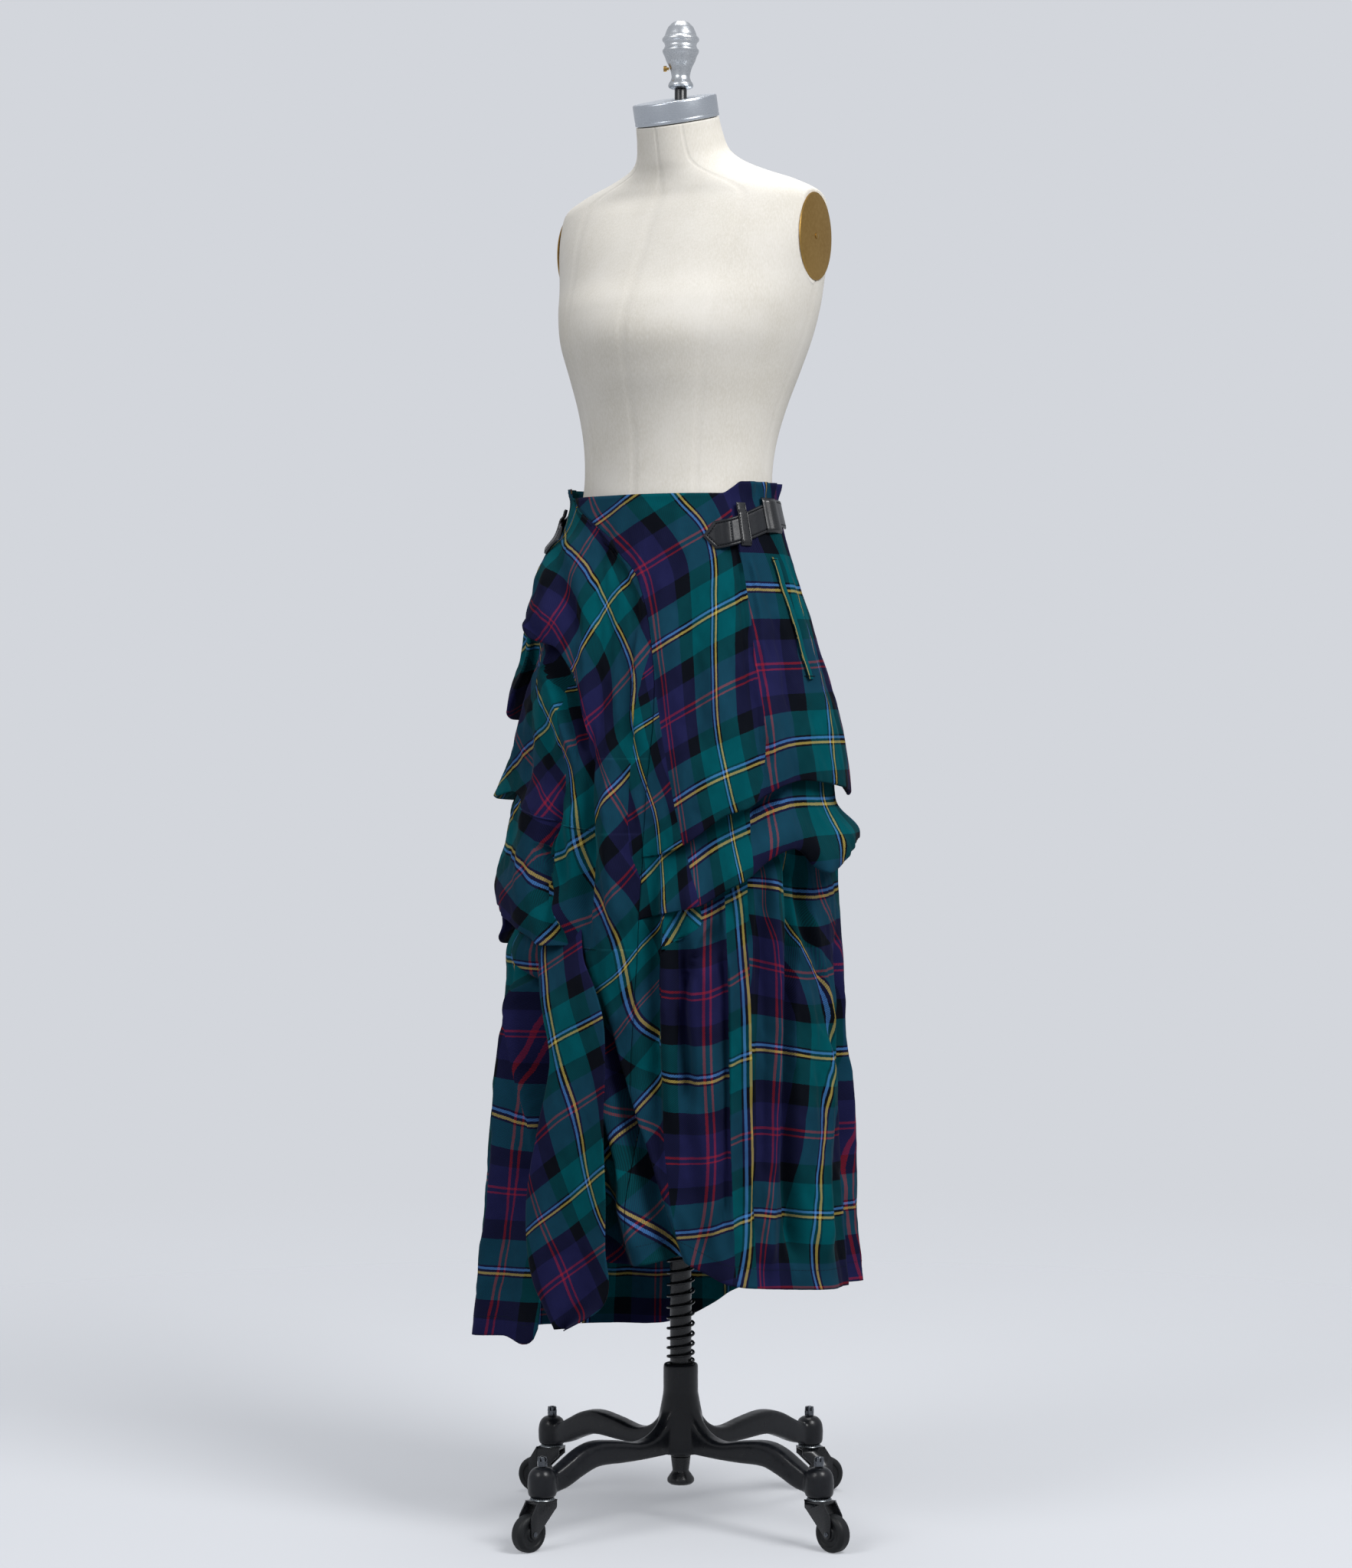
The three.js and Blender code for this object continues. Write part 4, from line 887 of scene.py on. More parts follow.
def creasesAt(creases, turn, z):
    out = np.zeros(turn.shape)
    here = np.stack([turn * degreeLength, z], -1)
    for path, before, after, height in creases:
        path = np.array(path, float) * (degreeLength, 1)
        steps = np.diff(path, axis=0)
        lengths = np.linalg.norm(steps, axis=1)
        starts = np.concatenate([[0], np.cumsum(lengths)])
        nearest = np.full(turn.shape, 1e9)
        offset, travelled = np.zeros(turn.shape), np.zeros(turn.shape)
        for k, step in enumerate(steps):
            gap = here - path[k]
            t = np.clip(gap @ step / lengths[k] ** 2, 0, 1)
            off = gap - t[..., None] * step
            distance = np.linalg.norm(off, axis=-1)
            side = np.sign(step[0] * gap[..., 1] - step[1] * gap[..., 0])
            closer = distance < nearest
            nearest = np.where(closer, distance, nearest)
            offset = np.where(closer, distance * side, offset)
            travelled = np.where(closer, starts[k] + t * lengths[k], travelled)
        width = np.where(offset < 0, before, after)
        fade = np.minimum(travelled, starts[-1] - travelled) / min(45, 0.3 * starts[-1])
        out = out + height * (1 - smooth(np.abs(offset) / width, 0, 1)) * smooth(fade, 0, 1)
    return out * panel["foldDepth"]


# Crumples that the tables are too coarse for: long ones down the cloth, short ones across it and fine ones.
def crumple(turn, z, seed, amount=1.0):
    result = np.zeros(turn.shape)
    for index in np.ndindex(turn.shape):
        s = turn[index] * degreeLength
        h = z[index]
        slow = noise.noise(Vector((s / 26, h / 120, seed)))
        short = noise.noise(Vector((s / 11 + h / 40, h / 30, seed + 9)))
        fine = noise.noise(Vector((s / 5, h / 12, seed + 17)))
        result[index] = 3.0 * slow + 1.7 * short + 0.5 * fine
    return result * amount


# A tucked panel, row by row from the waist to the hem. Each tier swells to its tuck's edge, turns under,
# goes back up inside and comes down again as the next tier.
def tuckedGrid(turnAt, tucks, hem, parts):
    columns = len(parts)
    middle = np.array([sideSeam * 0.55 * np.sign(turnAt(np.array([0.5]), 700)[0])])
    rows = []

    # the partings lean, so a row's turns and heights are settled together
    def addRow(pick):
        z = np.full(columns, 700.0)
        for _ in range(5):
            z = pick(turnAt(parts, z))[0]
        turn = turnAt(parts, z)
        z, out = pick(turn)
        rows.append((turn, z, out, np.full(columns, float(tier))))

    def edgeOf(turn, k):
        return along(tucks[k], "edge", turn), along(tucks[k], "lip", turn)

    def startOf(turn):
        if tier == 0:
            return waistHeight(turn), 0 * turn
        edge, lip = edgeOf(turn, tier - 1)
        return edge + 0.16 * lip - 3, 0.02 * lip

    def endOf(turn):
        return edgeOf(turn, tier) if tier < len(tucks) else (along(hem, "z", turn), 0 * turn)

    def hidden(turn):
        z, out = startOf(turn)
        return z + rise * edgeOf(turn, tier - 1)[1], out

    def seen(turn):
        z, out = startOf(turn)
        edge, lip = endOf(turn)
        swell = smooth(t, 0.1, 0.92) ** 1.3 * lip
        settle = out * (1 - smooth(t, 0, 0.5))
        return mix(z, edge + np.minimum(panel["tuckRadius"], 0.12 * lip), t), swell + settle

    def turningUnder(turn):
        edge, lip = edgeOf(turn, tier)
        radius = np.minimum(panel["tuckRadius"], 0.12 * lip)
        flat = 0.2 * (1 + bend) * (1 - smooth(lip, 0, 5))
        return edge - flat + radius * (1 - math.sin(bend)), lip - radius * (1 - math.cos(bend))

    def goingUp(turn):
        edge, lip = edgeOf(turn, tier)
        folded = smooth(lip, 0, 5)
        return edge + rise * lip + mix(-1 - rise, 0.4, folded), share * lip - 0.6 * folded

    for tier in range(len(tucks) + 1):
        if tier:
            for rise in (0.72, 0.5, 0.25):
                addRow(hidden)
        count = max(int(float(startOf(middle)[0][0] - endOf(middle)[0][0]) / panel["step"]), 8)
        for t in np.linspace(0, 1, count + 1):
            addRow(seen)
        if tier < len(tucks):
            for bend in (math.radians(degrees) for degrees in (35, 70, 110, 145)):
                addRow(turningUnder)
            for share, rise in ((0.78, 0.12), (0.62, 0.4), (0.5, 0.66), (0.42, 0.84)):
                addRow(goingUp)
    turn, z, out, tier = (np.array([row[k] for row in rows]) for k in range(4))
    calm = 1 - smooth(np.abs(turn), 108, 121)
    folds = foldsAt(frontFolds, turn, z) + creasesAt(frontCreases, turn, z)
    total = out + calm * folds + gatherWave(turn, z)
    total = total + crumple(turn, z, panel["seed"]) * calm * mix(0.15, 1, smooth(1201 - z, 0, 60))
    return turn, z, skirtPoints(turn, z, total), tier


# Where the coloured threads run. Each patch of cloth between two folds has its own threads: a share of the
# pattern's repeat (0.2 is the azure and yellow pair, 0.68 the red pair, 1.2 the next pair), then its places
# as turn and height.
threads = {
    "hipFront": {
        "warp": {
            0.2: [(31, 1185), (41, 1165), (45, 1140), (44, 1090), (43, 1035), (42, 950), (43, 915), (45, 885),
                  (47, 845)],
            -0.32: [(-27, 1195), (-13, 1165), (0, 1141), (10, 1120), (16, 1082), (19, 1048), (23, 988),
                    (26, 926), (28, 890), (31, 837)],
        },
        "weft": {
            -0.8: [(-24, 1166), (-16, 1177), (-7, 1191)],
            -0.32: [(4, 1105), (11, 1114), (21, 1129), (29, 1140), (39, 1152)],
            0.2: [(14, 1015), (27, 1037), (43, 1064), (60, 1084)],
            0.68: [(25, 939), (35, 957), (48, 979), (60, 992)],
            1.2: [(28, 846), (38, 869), (55, 892)],
        },
    },
    "hipSide": {
        "warp": {
            0.68: [(57, 1100), (61, 1021), (61, 940), (62, 880)],
            1.2: [(84, 1205), (95, 1150), (97, 1100), (95, 1045), (94, 1000), (92, 940), (93, 885)],
            1.68: [(106, 1150), (112, 1000), (113, 880)],
        },
        "weft": {
            -0.28: [(60, 1214), (85, 1214), (115, 1214)], -0.13: [(60, 1160), (85, 1160), (115, 1160)],
            0.2: [(61, 1093), (82, 1093), (115, 1093)],
            0.68: [(61, 1000), (80, 1002), (100, 1006), (118, 1006)],
            1.2: [(57, 900), (62, 911), (72, 916), (95, 919), (118, 919)],
        },
    },
    "swagFront": {
        "warp": {0.2: [(47, 831), (49, 778)], -0.32: [(34, 814), (36, 770)]},
        "weft": {2.2: [(35, 781), (40, 797), (49, 811), (54, 818)]},
    },
    "swagSide": {
        "warp": {0.68: [(63, 858), (62, 808)], 1.2: [(92, 869), (93, 824), (89, 798)]},
        "weft": {2.2: [(55, 828), (61, 838), (66, 845), (85, 848), (115, 850)]},
    },
    "flap": {
        "warp": {0.2: [(27, 748), (32, 731), (37, 716)]},
        "weft": {3.2: [(36, 749), (32, 731), (29, 710), (25, 686)]},
    },
    "skirtFront": {
        "warp": {-0.32: [(39, 660), (39, 540), (40, 448), (39, 404), (38, 374), (35, 343)]},
        "weft": {
            3.2: [(40, 722), (45, 736)], 3.68: [(25, 635), (30, 628), (38, 630), (45, 640)],
            4.2: [(24, 542), (32, 535), (40, 538), (46, 546)], 4.68: [(27, 446), (32, 445), (44, 451)],
            5.2: [(32, 367), (36, 361), (43, 374), (50, 383)],
        },
    },
    "skirtMiddle": {
        "warp": {
            0.2: [(48, 770), (50, 745), (51, 686), (52, 627), (52, 540), (52, 440), (51, 380),
                  (50, 332), (47, 306)],
        },
        "weft": {
            3.2: [(46, 738), (53, 750)], 3.68: [(47, 646), (53, 658)], 4.2: [(47, 557), (53, 564)],
            4.68: [(47, 469), (53, 475)], 5.2: [(47, 379), (53, 385)],
        },
    },
    "skirtSide": {
        "warp": {
            0.68: [(65, 781), (64, 700), (63, 622), (62, 533), (61, 444), (58, 386), (55, 310)],
            1.2: [(66, 790), (69, 730), (75, 681), (86, 649), (90, 618), (91, 573), (85, 529),
                  (81, 486), (76, 428), (75, 384), (73, 340), (74, 307)],
            1.8: [(118, 680), (118, 450), (116, 310)],
        },
        "weft": {
            3.2: [(56, 756), (64, 757), (72, 745), (115, 750)],
            3.68: [(56, 667), (63, 662), (75, 650), (95, 655), (118, 655)],
            4.2: [(55, 572), (63, 571), (72, 565), (87, 558), (118, 560)],
            4.68: [(54, 478), (63, 478), (79, 470), (91, 471)],
            5.2: [(53, 388), (63, 385), (90, 382), (118, 384)],
        },
    },
    "bias": {
        "warp": {
            0.2: [(-46, 1157), (-23, 1129), (-14, 1102), (-7, 1079), (-1, 1053), (6, 1024), (11, 997),
                  (12, 926)],
            -0.32: [(-23, 1050), (-21, 1034), (-16, 1016), (-6, 937), (-5, 915), (3, 878), (12, 828)],
            -0.8: [(-15, 905), (-11, 863), (-9, 803), (-4, 758), (6, 715), (11, 661), (16, 598), (22, 584)],
            -1.32: [(4, 505), (12, 494), (19, 487), (23, 477)],
        },
        "weft": {
            -0.32: [(-20, 1158), (-23, 1120), (-25, 1075), (-23, 1052), (-31, 1035)],
            0.2: [(4, 1102), (-5, 1076), (-10, 1046), (-13, 1002), (-18, 989), (-22, 975)],
            0.68: [(9, 993), (4, 975), (-2, 957), (-6, 939)],
            1.2: [(12, 885), (6, 861), (-1, 830), (-9, 798), (-18, 784)],
            1.68: [(12, 762), (6, 738), (3, 725), (-5, 713), (-9, 706)],
            2.2: [(11, 651), (4, 640), (-1, 629)],
            2.68: [(20, 642), (14, 612), (10, 588)],
            3.2: [(23, 536), (18, 512), (12, 486), (4, 440)],
        },
    },
    "strip": {
        "warp": {
            0.2: [(12, 926), (13, 908), (16, 885), (22, 840), (24, 791)],
            0.5: [(19, 926), (23, 885), (29, 840), (31, 791)],
        },
        "weft": {
            0.68: [(18, 1000), (12, 980)], 1.2: [(12, 928), (20, 947)],
            1.68: [(13, 831), (17, 840), (23, 852)],
            2.2: [(32, 805), (24, 790), (18, 763)],
        },
    },
    "swagRight": {
        "warp": {-1.32: [(-44, 893), (-25, 863), (-21, 842)], -0.8: [(-20, 930), (-17, 905)]},
        "weft": {
            1.2: [(-55, 891), (-46, 913), (-27, 928), (-22, 950)],
            1.68: [(-44, 800), (-24, 826), (-18, 869), (-10, 890)],
        },
    },
    "pouch": {
        "warp": {
            -1.8: [(-56, 795), (-34, 780), (-26, 767), (-23, 750), (-16, 742)],
            -2.32: [(-40, 690), (-25, 672), (-14, 661)],
        },
        "weft": {
            1.68: [(-45, 730), (-33, 753), (-26, 784)],
            2.2: [(-30, 649), (-23, 672), (-16, 690), (-12, 719)],
        },
    },
    "sideLow": {
        "warp": {
            -1.32: [(-29, 660), (-30, 466), (-30, 386), (-31, 340), (-34, 254)],
            -2.0: [(-62, 600), (-66, 250)],
        },
        "weft": {
            3.2: [(-60, 660), (-20, 655)], 4.2: [(-60, 492), (-34, 489), (-29, 474), (-12, 480)],
            4.68: [(-60, 400), (-37, 398), (-30, 397), (-14, 399)],
            5.2: [(-60, 304), (-41, 303), (-31, 304), (-13, 310)],
        },
    },
    "tail": {
        "warp": {
            0.2: [(-7, 555), (-4, 526), (-1, 496), (3, 426), (6, 398), (8, 378)],
            -0.32: [(-13, 401), (-9, 364), (-5, 335), (-2, 306), (0, 283), (3, 268)],
        },
        "weft": {
            0.2: [(-9, 577), (-4, 589), (3, 600)], 0.68: [(-11, 470), (-7, 487), (0, 505)],
            1.2: [(-13, 364), (-7, 385), (-1, 404), (8, 434)],
            1.68: [(-9, 290), (-4, 312), (2, 328), (8, 345)],
        },
    },
    "back": {
        "warp": {
            2.2: [(140, 1150), (140, 300)], 3.2: [(184, 1150), (190, 300)], 4.2: [(224, 1150), (236, 300)],
        },
        "weft": {
            0.2: [(130, 1093), (230, 1093)], 5.2: [(130, 266), (230, 266)], 2.7: [(130, 680), (230, 680)],
        },
    },
}
# The folds that part the patches: the turn of each by height. Two of them share their lower part.
lowEdge = [
    (676, 22.5), (640, 22), (600, 23.5), (542, 24), (480, 25), (435, 26), (400, 27), (375, 28), (340, 29),
    (300, 30),
]
partings = {
    "seamFold": table(
        ("z", "turn"), (1225, -90), (1165, -34), (1130, -10), (1105, 0), (1055, 11), (1030, 14), (1018, 16),
        (1010, 17), (950, 21), (900, 24.5), (850, 28), (800, 31.5), (760, 35), (750, 36), (716, 37.5),
        (706, 36), (684, 24.5), *lowEdge),
    "lowFold": table(("z", "turn"), (800, 10), (780, 25), (700, 25), (684, 24.3), *lowEdge),
    "frontPleat": table(("z", "turn"), (780, 45.5), (300, 46)),
    "sidePleat": table(
        ("z", "turn"), (1215, 58), (1145, 59), (1080, 60.5), (1037, 60), (992, 59.5), (940, 60), (880, 59),
        (840, 55.5), (780, 54), (300, 53)),
    "stripEdge": table(
        ("z", "turn"), (1030, 18), (1010, 16), (985, 14.2), (950, 12.5), (800, 12.5), (750, 18), (600, 30)),
    "pouchEdge": table(
        ("z", "turn"), (980, -22), (930, -17), (905, -17), (860, -15), (820, -18), (780, -21), (740, -16),
        (700, -11), (660, -10), (300, -14)),
}
# The patches of each panel's tiers, from the smallest turn up, each with the fold that it ends at.
patchesByTier = {
    "left": [
        [("strip", "seamFold"), ("hipFront", "sidePleat"), ("hipSide", None)],
        [("strip", "seamFold"), ("swagFront", "sidePleat"), ("swagSide", None)],
        [("bias", "lowFold"), ("flap", "seamFold"), ("skirtFront", "frontPleat"),
         ("skirtMiddle", "sidePleat"), ("skirtSide", None)],
    ],
    "right": [
        [("bias", "stripEdge"), ("strip", None)],
        [("swagRight", "pouchEdge"), ("bias", "stripEdge"), ("strip", None)],
        [("pouch", "pouchEdge"), ("bias", "stripEdge"), ("strip", None)],
        [("sideLow", "pouchEdge"), ("bias", None)],
    ],
    "back": [[("back", None)]],
    "tail": [[("tail", None)]],
}


# How far each patch's grain leans from upright, in degrees.
grainLean = {
    "hipFront": 12, "hipSide": 0, "swagFront": 8, "swagSide": 0, "flap": 50, "skirtFront": 5,
    "skirtMiddle": 3, "skirtSide": 0, "bias": 38, "strip": 22, "swagRight": 42, "pouch": 50, "sideLow": 2,
    "tail": 22, "back": 0,
}


# An even weave that leans as the patch does, pulled to pass through the patch's threads.
def spreadThreads(name, way, turn, z):
    lean = math.radians(grainLean[name])
    slope = np.array([math.cos(lean), math.sin(lean)] if way == "warp" else [math.sin(lean), -math.cos(lean)])
    knots, shares, looseness = [], [], []
    for share, row in threads[name][way].items():
        row = np.array(row, float) * (degreeLength, 1)
        run = np.gradient(row, axis=0)
        across = np.stack([-run[:, 1], run[:, 0]], -1) / np.linalg.norm(run, axis=1)[:, None]
        across = across * np.sign(across @ slope)[:, None]
        # neighbours on both sides hold each thread to its own width
        for off, loose in ((0, 3e-4), (-9, 6e-4), (9, 6e-4)):
            knots.append(row + off * across)
            shares.append(np.full(len(row), share + off / sett["repeat"]))
            looseness.append(np.full(len(row), loose))
    knots, shares, looseness = np.concatenate(knots), np.concatenate(shares), np.concatenate(looseness)
    middle = knots.mean(0)

    def alike(a, b):
        gap = np.linalg.norm(a[:, None] - b[None], axis=-1) / 110
        return 4 + (a - middle) @ (b - middle).T / 500 ** 2 + 0.02 * (1 + gap) * np.exp(-gap)

    rest = shares - knots @ slope / sett["repeat"]
    weights = np.linalg.solve(alike(knots, knots) + np.diag(looseness), rest)
    at = np.stack([turn.ravel() * degreeLength, z.ravel()], -1)
    field = alike(at, knots) @ weights + at @ slope / sett["repeat"]
    return field.reshape(turn.shape)


# The cloth's own coordinates at the corners of a panel's faces, in metres: across the warp and along it. Each
# face belongs to one patch, so that the pattern breaks off cleanly where cloth is folded under.
def weaveCoordinates(side, turn, z, tier):
    def corners(grid):
        return np.stack([grid[:-1, :-1], grid[1:, :-1], grid[1:, 1:], grid[:-1, 1:]], 2)

    faceTurn, faceZ = corners(turn).mean(2), corners(z).mean(2)
    result = np.zeros(faceTurn.shape + (4, 2))
    for level, patches in enumerate(patchesByTier[side]):
        chosen = np.zeros(faceTurn.shape, int)
        for k, (_, parting) in enumerate(patches):
            if parting:
                chosen = np.where(faceTurn > along(partings[parting], "turn", faceZ), k + 1, chosen)
        for k, (name, _) in enumerate(patches):
            here = (tier[:-1, :-1] == level) & (chosen == k)
            field = np.stack([spreadThreads(name, way, turn, z) for way in ("warp", "weft")], -1)
            result[here] = corners(field)[here]
    return result * sett["repeat"] / 1000


def clothMesh(name, grid, uv, node):
    piece = makeMesh(name, grid.reshape(-1, 3), gridFaces(*grid.shape[:2]), tartan)
    piece.data.uv_layers.new(name="cloth").data.foreach_set("uv", uv.ravel())
    wall = piece.modifiers.new("cloth_thickness", "SOLIDIFY")
    wall.thickness = panel["thickness"] / 1000
    wall.offset = -1
    wall.use_even_offset = False
    return finish(piece, "form", [node])


columnGap = 0.0006  # the share of a panel's columns between a parting and the column beside it


# Turns of a panel's columns: evenly spread over each stretch between its partings, with two columns close
# together at every parting so that a row of faces follows the fold. `lines` gives each parting's share.
def columnTurns(part, z, ends, lines):
    stops, turns = [0.0], [ends[0](z)]
    for line, share in lines.items():
        middle = np.clip(along(partings[line], "turn", z), turns[-1] + 0.7, ends[1](z) - 1.5)
        stops += [share - columnGap, share + columnGap]
        turns += [middle - 0.05, middle + 0.05]
    stops.append(1.0)
    turns.append(ends[1](z))
    result = np.zeros(np.broadcast(part, z).shape)
    for k in range(len(stops) - 1):
        t = (part - stops[k]) / (stops[k + 1] - stops[k])
        result = np.where((t >= 0) & (t <= 1), mix(turns[k], turns[k + 1], t), result)
    return result


def makeTuckedPanel(side, ends, lines, tucks, hem):
    beside = [share + gap for share in lines.values() for gap in (-columnGap, columnGap)]
    parts = np.sort(np.concatenate([np.linspace(0, 1, panel["columns"]), beside]))
    turn, z, grid, tier = tuckedGrid(lambda part, z: columnTurns(part, z, ends, lines), tucks, hem, parts)
    uv = weaveCoordinates(side, turn, z, tier)
    return clothMesh(f"{side}_panel_cloth", grid, uv, f"skirt_{side}_panel")


def makeBackPanel():
    rows, columns = 250, 120
    turn = np.tile(np.linspace(sideSeam + 0.3, 360 - sideSeam - 0.3, columns), (rows, 1))
    near = np.where(turn > 180, turn - 360, turn)
    part = np.linspace(0, 1, rows)[:, None]
    z = mix(waistHeight(near), along(backHem, "z", turn), part)
    lift = foldsAt(backFolds, turn, z) + creasesAt(backCreases, turn, z)
    lift = (lift + crumple(turn, z, 21.0) * smooth(1201 - z, 0, 60)) * smooth(np.abs(near), 123, 136)
    uv = weaveCoordinates("back", turn, z, 0 * turn)
    return clothMesh("back_panel_cloth", skirtPoints(turn, z, lift), uv, "skirt_back_panel")


# The hanging tail: its edges' turns by height, and how far it hangs in front of the skirt's rings.
tailRows = table(
    ("z", "from", "to", "out"),
    (704, -22, -6, -4), (672, -22, -3, 5), (638, -19, 3, 14), (604, -15, 7, 20), (552, -10.5, 8.5, 23),
    (478, -13, 9, 24), (402, -16, 10, 24), (344, -15.5, 10, 24), (304, -13, 11, 24), (278, -9.5, 8, 23),
    (252, -5.5, -2.6, 22),
)


def makeTail():
    rows, columns = 150, 40
    z = np.tile(np.linspace(704, 252, rows)[:, None], (1, columns))
    t = np.tile(np.linspace(0, 1, columns), (rows, 1))
    turn = mix(along(tailRows, "from", z), along(tailRows, "to", z), t)
    ripple = 5 * np.sin(math.tau * t + 0.6) * smooth(668 - z, 0, 200)
    lift = along(tailRows, "out", z) + ripple + crumple(turn, z, 31.0, 0.5)
    uv = weaveCoordinates("tail", turn, z, 0 * turn)
    return clothMesh("tail_cloth", skirtPoints(turn, z, lift), uv, "skirt_tail")


leftPanel = makeTuckedPanel(
    "left", (lambda z: seamTurn(z) + 0.1, lambda z: sideSeam + 0 * z),
    {"lowFold": 0.1, "seamFold": 0.17, "frontPleat": 0.28, "sidePleat": 0.38}, leftTucks, leftHem)
rightPanel = makeTuckedPanel(
    "right", (lambda z: -sideSeam + 0 * z, lambda z: seamTurn(z) - 0.1),
    {"pouchEdge": 0.55, "stripEdge": 0.9}, rightTucks, rightHem)
backPanel = makeBackPanel()
tail = makeTail()
print("skirt panels made")


# Node trees for the stitches, the bearing balls and the wire of the spring.
def startTree(name, sizes):
    tree = bpy.data.node_groups.new(name, "GeometryNodeTree")
    tree.interface.new_socket("Path", in_out="INPUT", socket_type="NodeSocketGeometry")
    for size in sizes:
        tree.interface.new_socket(size, in_out="INPUT", socket_type="NodeSocketFloat")
    tree.interface.new_socket("Finish", in_out="INPUT", socket_type="NodeSocketMaterial")
    tree.interface.new_socket("Geometry", in_out="OUTPUT", socket_type="NodeSocketGeometry")
    return tree, addNode(tree, "NodeGroupInput")


def endTree(tree, entry, geometry):
    whole = addNode(tree, "GeometryNodeRealizeInstances", {"Geometry": geometry})
    shaded = addNode(tree, "GeometryNodeSetShadeSmooth", {"Geometry": whole.outputs[0]})
    painted = addNode(tree, "GeometryNodeSetMaterial", {
        "Geometry": shaded.outputs[0], "Material": entry.outputs["Finish"],
    })
    addNode(tree, "NodeGroupOutput", {"Geometry": painted.outputs[0]})
    return tree


# Small rounded bodies, one every `Pitch` along a path, lying along it.
def makeBeadTree():
    tree, entry = startTree("beads_along_path", ("Pitch", "Radius", "Length"))
    path = addNode(tree, "GeometryNodeMeshToCurve", {"Mesh": entry.outputs["Path"]})
    spaced = addNode(tree, "GeometryNodeResampleCurve", {
        "Curve": path.outputs[0], "Length": entry.outputs["Pitch"],
    }, mode="LENGTH")
    way = addNode(tree, "GeometryNodeInputTangent")
    turned = addNode(tree, "FunctionNodeAlignRotationToVector", {"Vector": way.outputs[0]}, axis="Z")
    bead = addNode(tree, "GeometryNodeMeshUVSphere", {"Segments": 6, "Rings": 5, "Radius": 1.0})
    half = addNode(tree, "ShaderNodeMath", {0: entry.outputs["Length"], 1: 0.5}, operation="MULTIPLY")
    size = addNode(tree, "ShaderNodeCombineXYZ", {
        0: entry.outputs["Radius"], 1: entry.outputs["Radius"], 2: half.outputs[0],
    })
    row = addNode(tree, "GeometryNodeInstanceOnPoints", {
        "Points": spaced.outputs[0], "Instance": bead.outputs["Mesh"],
        "Rotation": turned.outputs[0], "Scale": size.outputs[0],
    })
    return endTree(tree, entry, row.outputs[0])


# Round wire swept along a path.
def makeWireTree():
    tree, entry = startTree("wire_along_path", ("Radius",))
    path = addNode(tree, "GeometryNodeMeshToCurve", {"Mesh": entry.outputs["Path"]})
    section = addNode(tree, "GeometryNodeCurvePrimitiveCircle", {
        "Resolution": 10, "Radius": entry.outputs["Radius"],
    })
    wire = addNode(tree, "GeometryNodeCurveToMesh", {
        "Curve": path.outputs[0], "Profile Curve": section.outputs[0], "Fill Caps": True,
    })
    return endTree(tree, entry, wire.outputs[0])


beadTree = makeBeadTree()
wireTree = makeWireTree()


# Runs a tree over paths of points in mm, and keeps what it makes as a plain mesh. Sizes are in mm too.
def growAlong(name, tree, paths, material, body, slot, replaces=(), closed=False, **sizes):
    points, edges = [], []
    for path in paths:
        start = len(points)
        points.extend(path)
        edges.extend((start + k, start + k + 1) for k in range(len(path) - 1))
        if closed:
            edges.append((len(points) - 1, start))
    mesh = bpy.data.meshes.new(name + "_path")
    mesh.from_pydata([tuple(p) for p in toScene(points)], edges, [])
    piece = link(bpy.data.objects.new(name, mesh))
    grower = piece.modifiers.new("grow", "NODES")
    grower.node_group = tree
    for socket in tree.interface.items_tree:
        if socket.in_out == "INPUT" and socket.name in sizes:
            grower[socket.identifier] = sizes[socket.name] / 1000
        if socket.in_out == "INPUT" and socket.name == "Finish":
            grower[socket.identifier] = material
    return finish(settle(piece), body, replaces)


# Swaps a piece's modifiers for the mesh that they make.
def settle(piece):
    bpy.context.view_layer.update()
    made = bpy.data.meshes.new_from_object(piece.evaluated_get(bpy.context.evaluated_depsgraph_get()))
    piece.modifiers.clear()
    piece.data = made
    made.name = piece.name
    return piece


# Straps with their keepers and buckles, the pocket welts, and the stitches on the cloth.
strap = {
    "from": 41, "to": 118,  # degrees round, wearer's left; the right one mirrors it
    "half": 16, "thickness": 2.4, "tip": 14, "clear": 0.7,
    "groove": 3.2,  # mm from the edge to the stitched line
    "box": 33,  # mm from the point to the row of stitches across
}
keeper = {"turn": 64, "half": 3.3, "up": 29, "down": 21, "rise": 3.1}
buckle = {"turn": 87, "half": 7.0, "up": 20.5, "down": 20.5, "rise": 3.3}
welt = {"top": 1128, "foot": 988, "topTurn": 82, "footTurn": 86, "half": 5.5, "degreeLength": 2.7}
stitch = {"Pitch": 3.1, "Radius": 0.36, "Length": 2.5}
hemStitch = {"rise": 22, "sizes": {"Pitch": 3.6, "Radius": 0.28, "Length": 2.8}}
barStitch = {"Pitch": 0.9, "Radius": 0.55, "Length": 1.4}


# The surfaces that straps and stitches are laid on.
def makeFeelers(pieces):
    bpy.context.view_layer.update()
    graph = bpy.context.evaluated_depsgraph_get()
    return [BVHTree.FromObject(piece, graph) for piece in pieces]


# How far the cloth stands out from the skirt's rings at a turn and height.
def clothLift(feelers, turn, z):
    start = Vector(toScene(skirtPoints(np.array(turn, float), z, 70.0)))
    way = Vector(toScene(skirtPoints(np.array(turn, float), z, -30.0))) - start
    reach = 1000 * way.length
    hits = [feeler.ray_cast(start, way.normalized())[3] for feeler in feelers]
    near = min([hit * 1000 for hit in hits if hit is not None], default=reach)
    return 70 - near


def strapHeight(turn):
    return mix(1151, 1180, smooth(np.abs(turn), 40, 100))


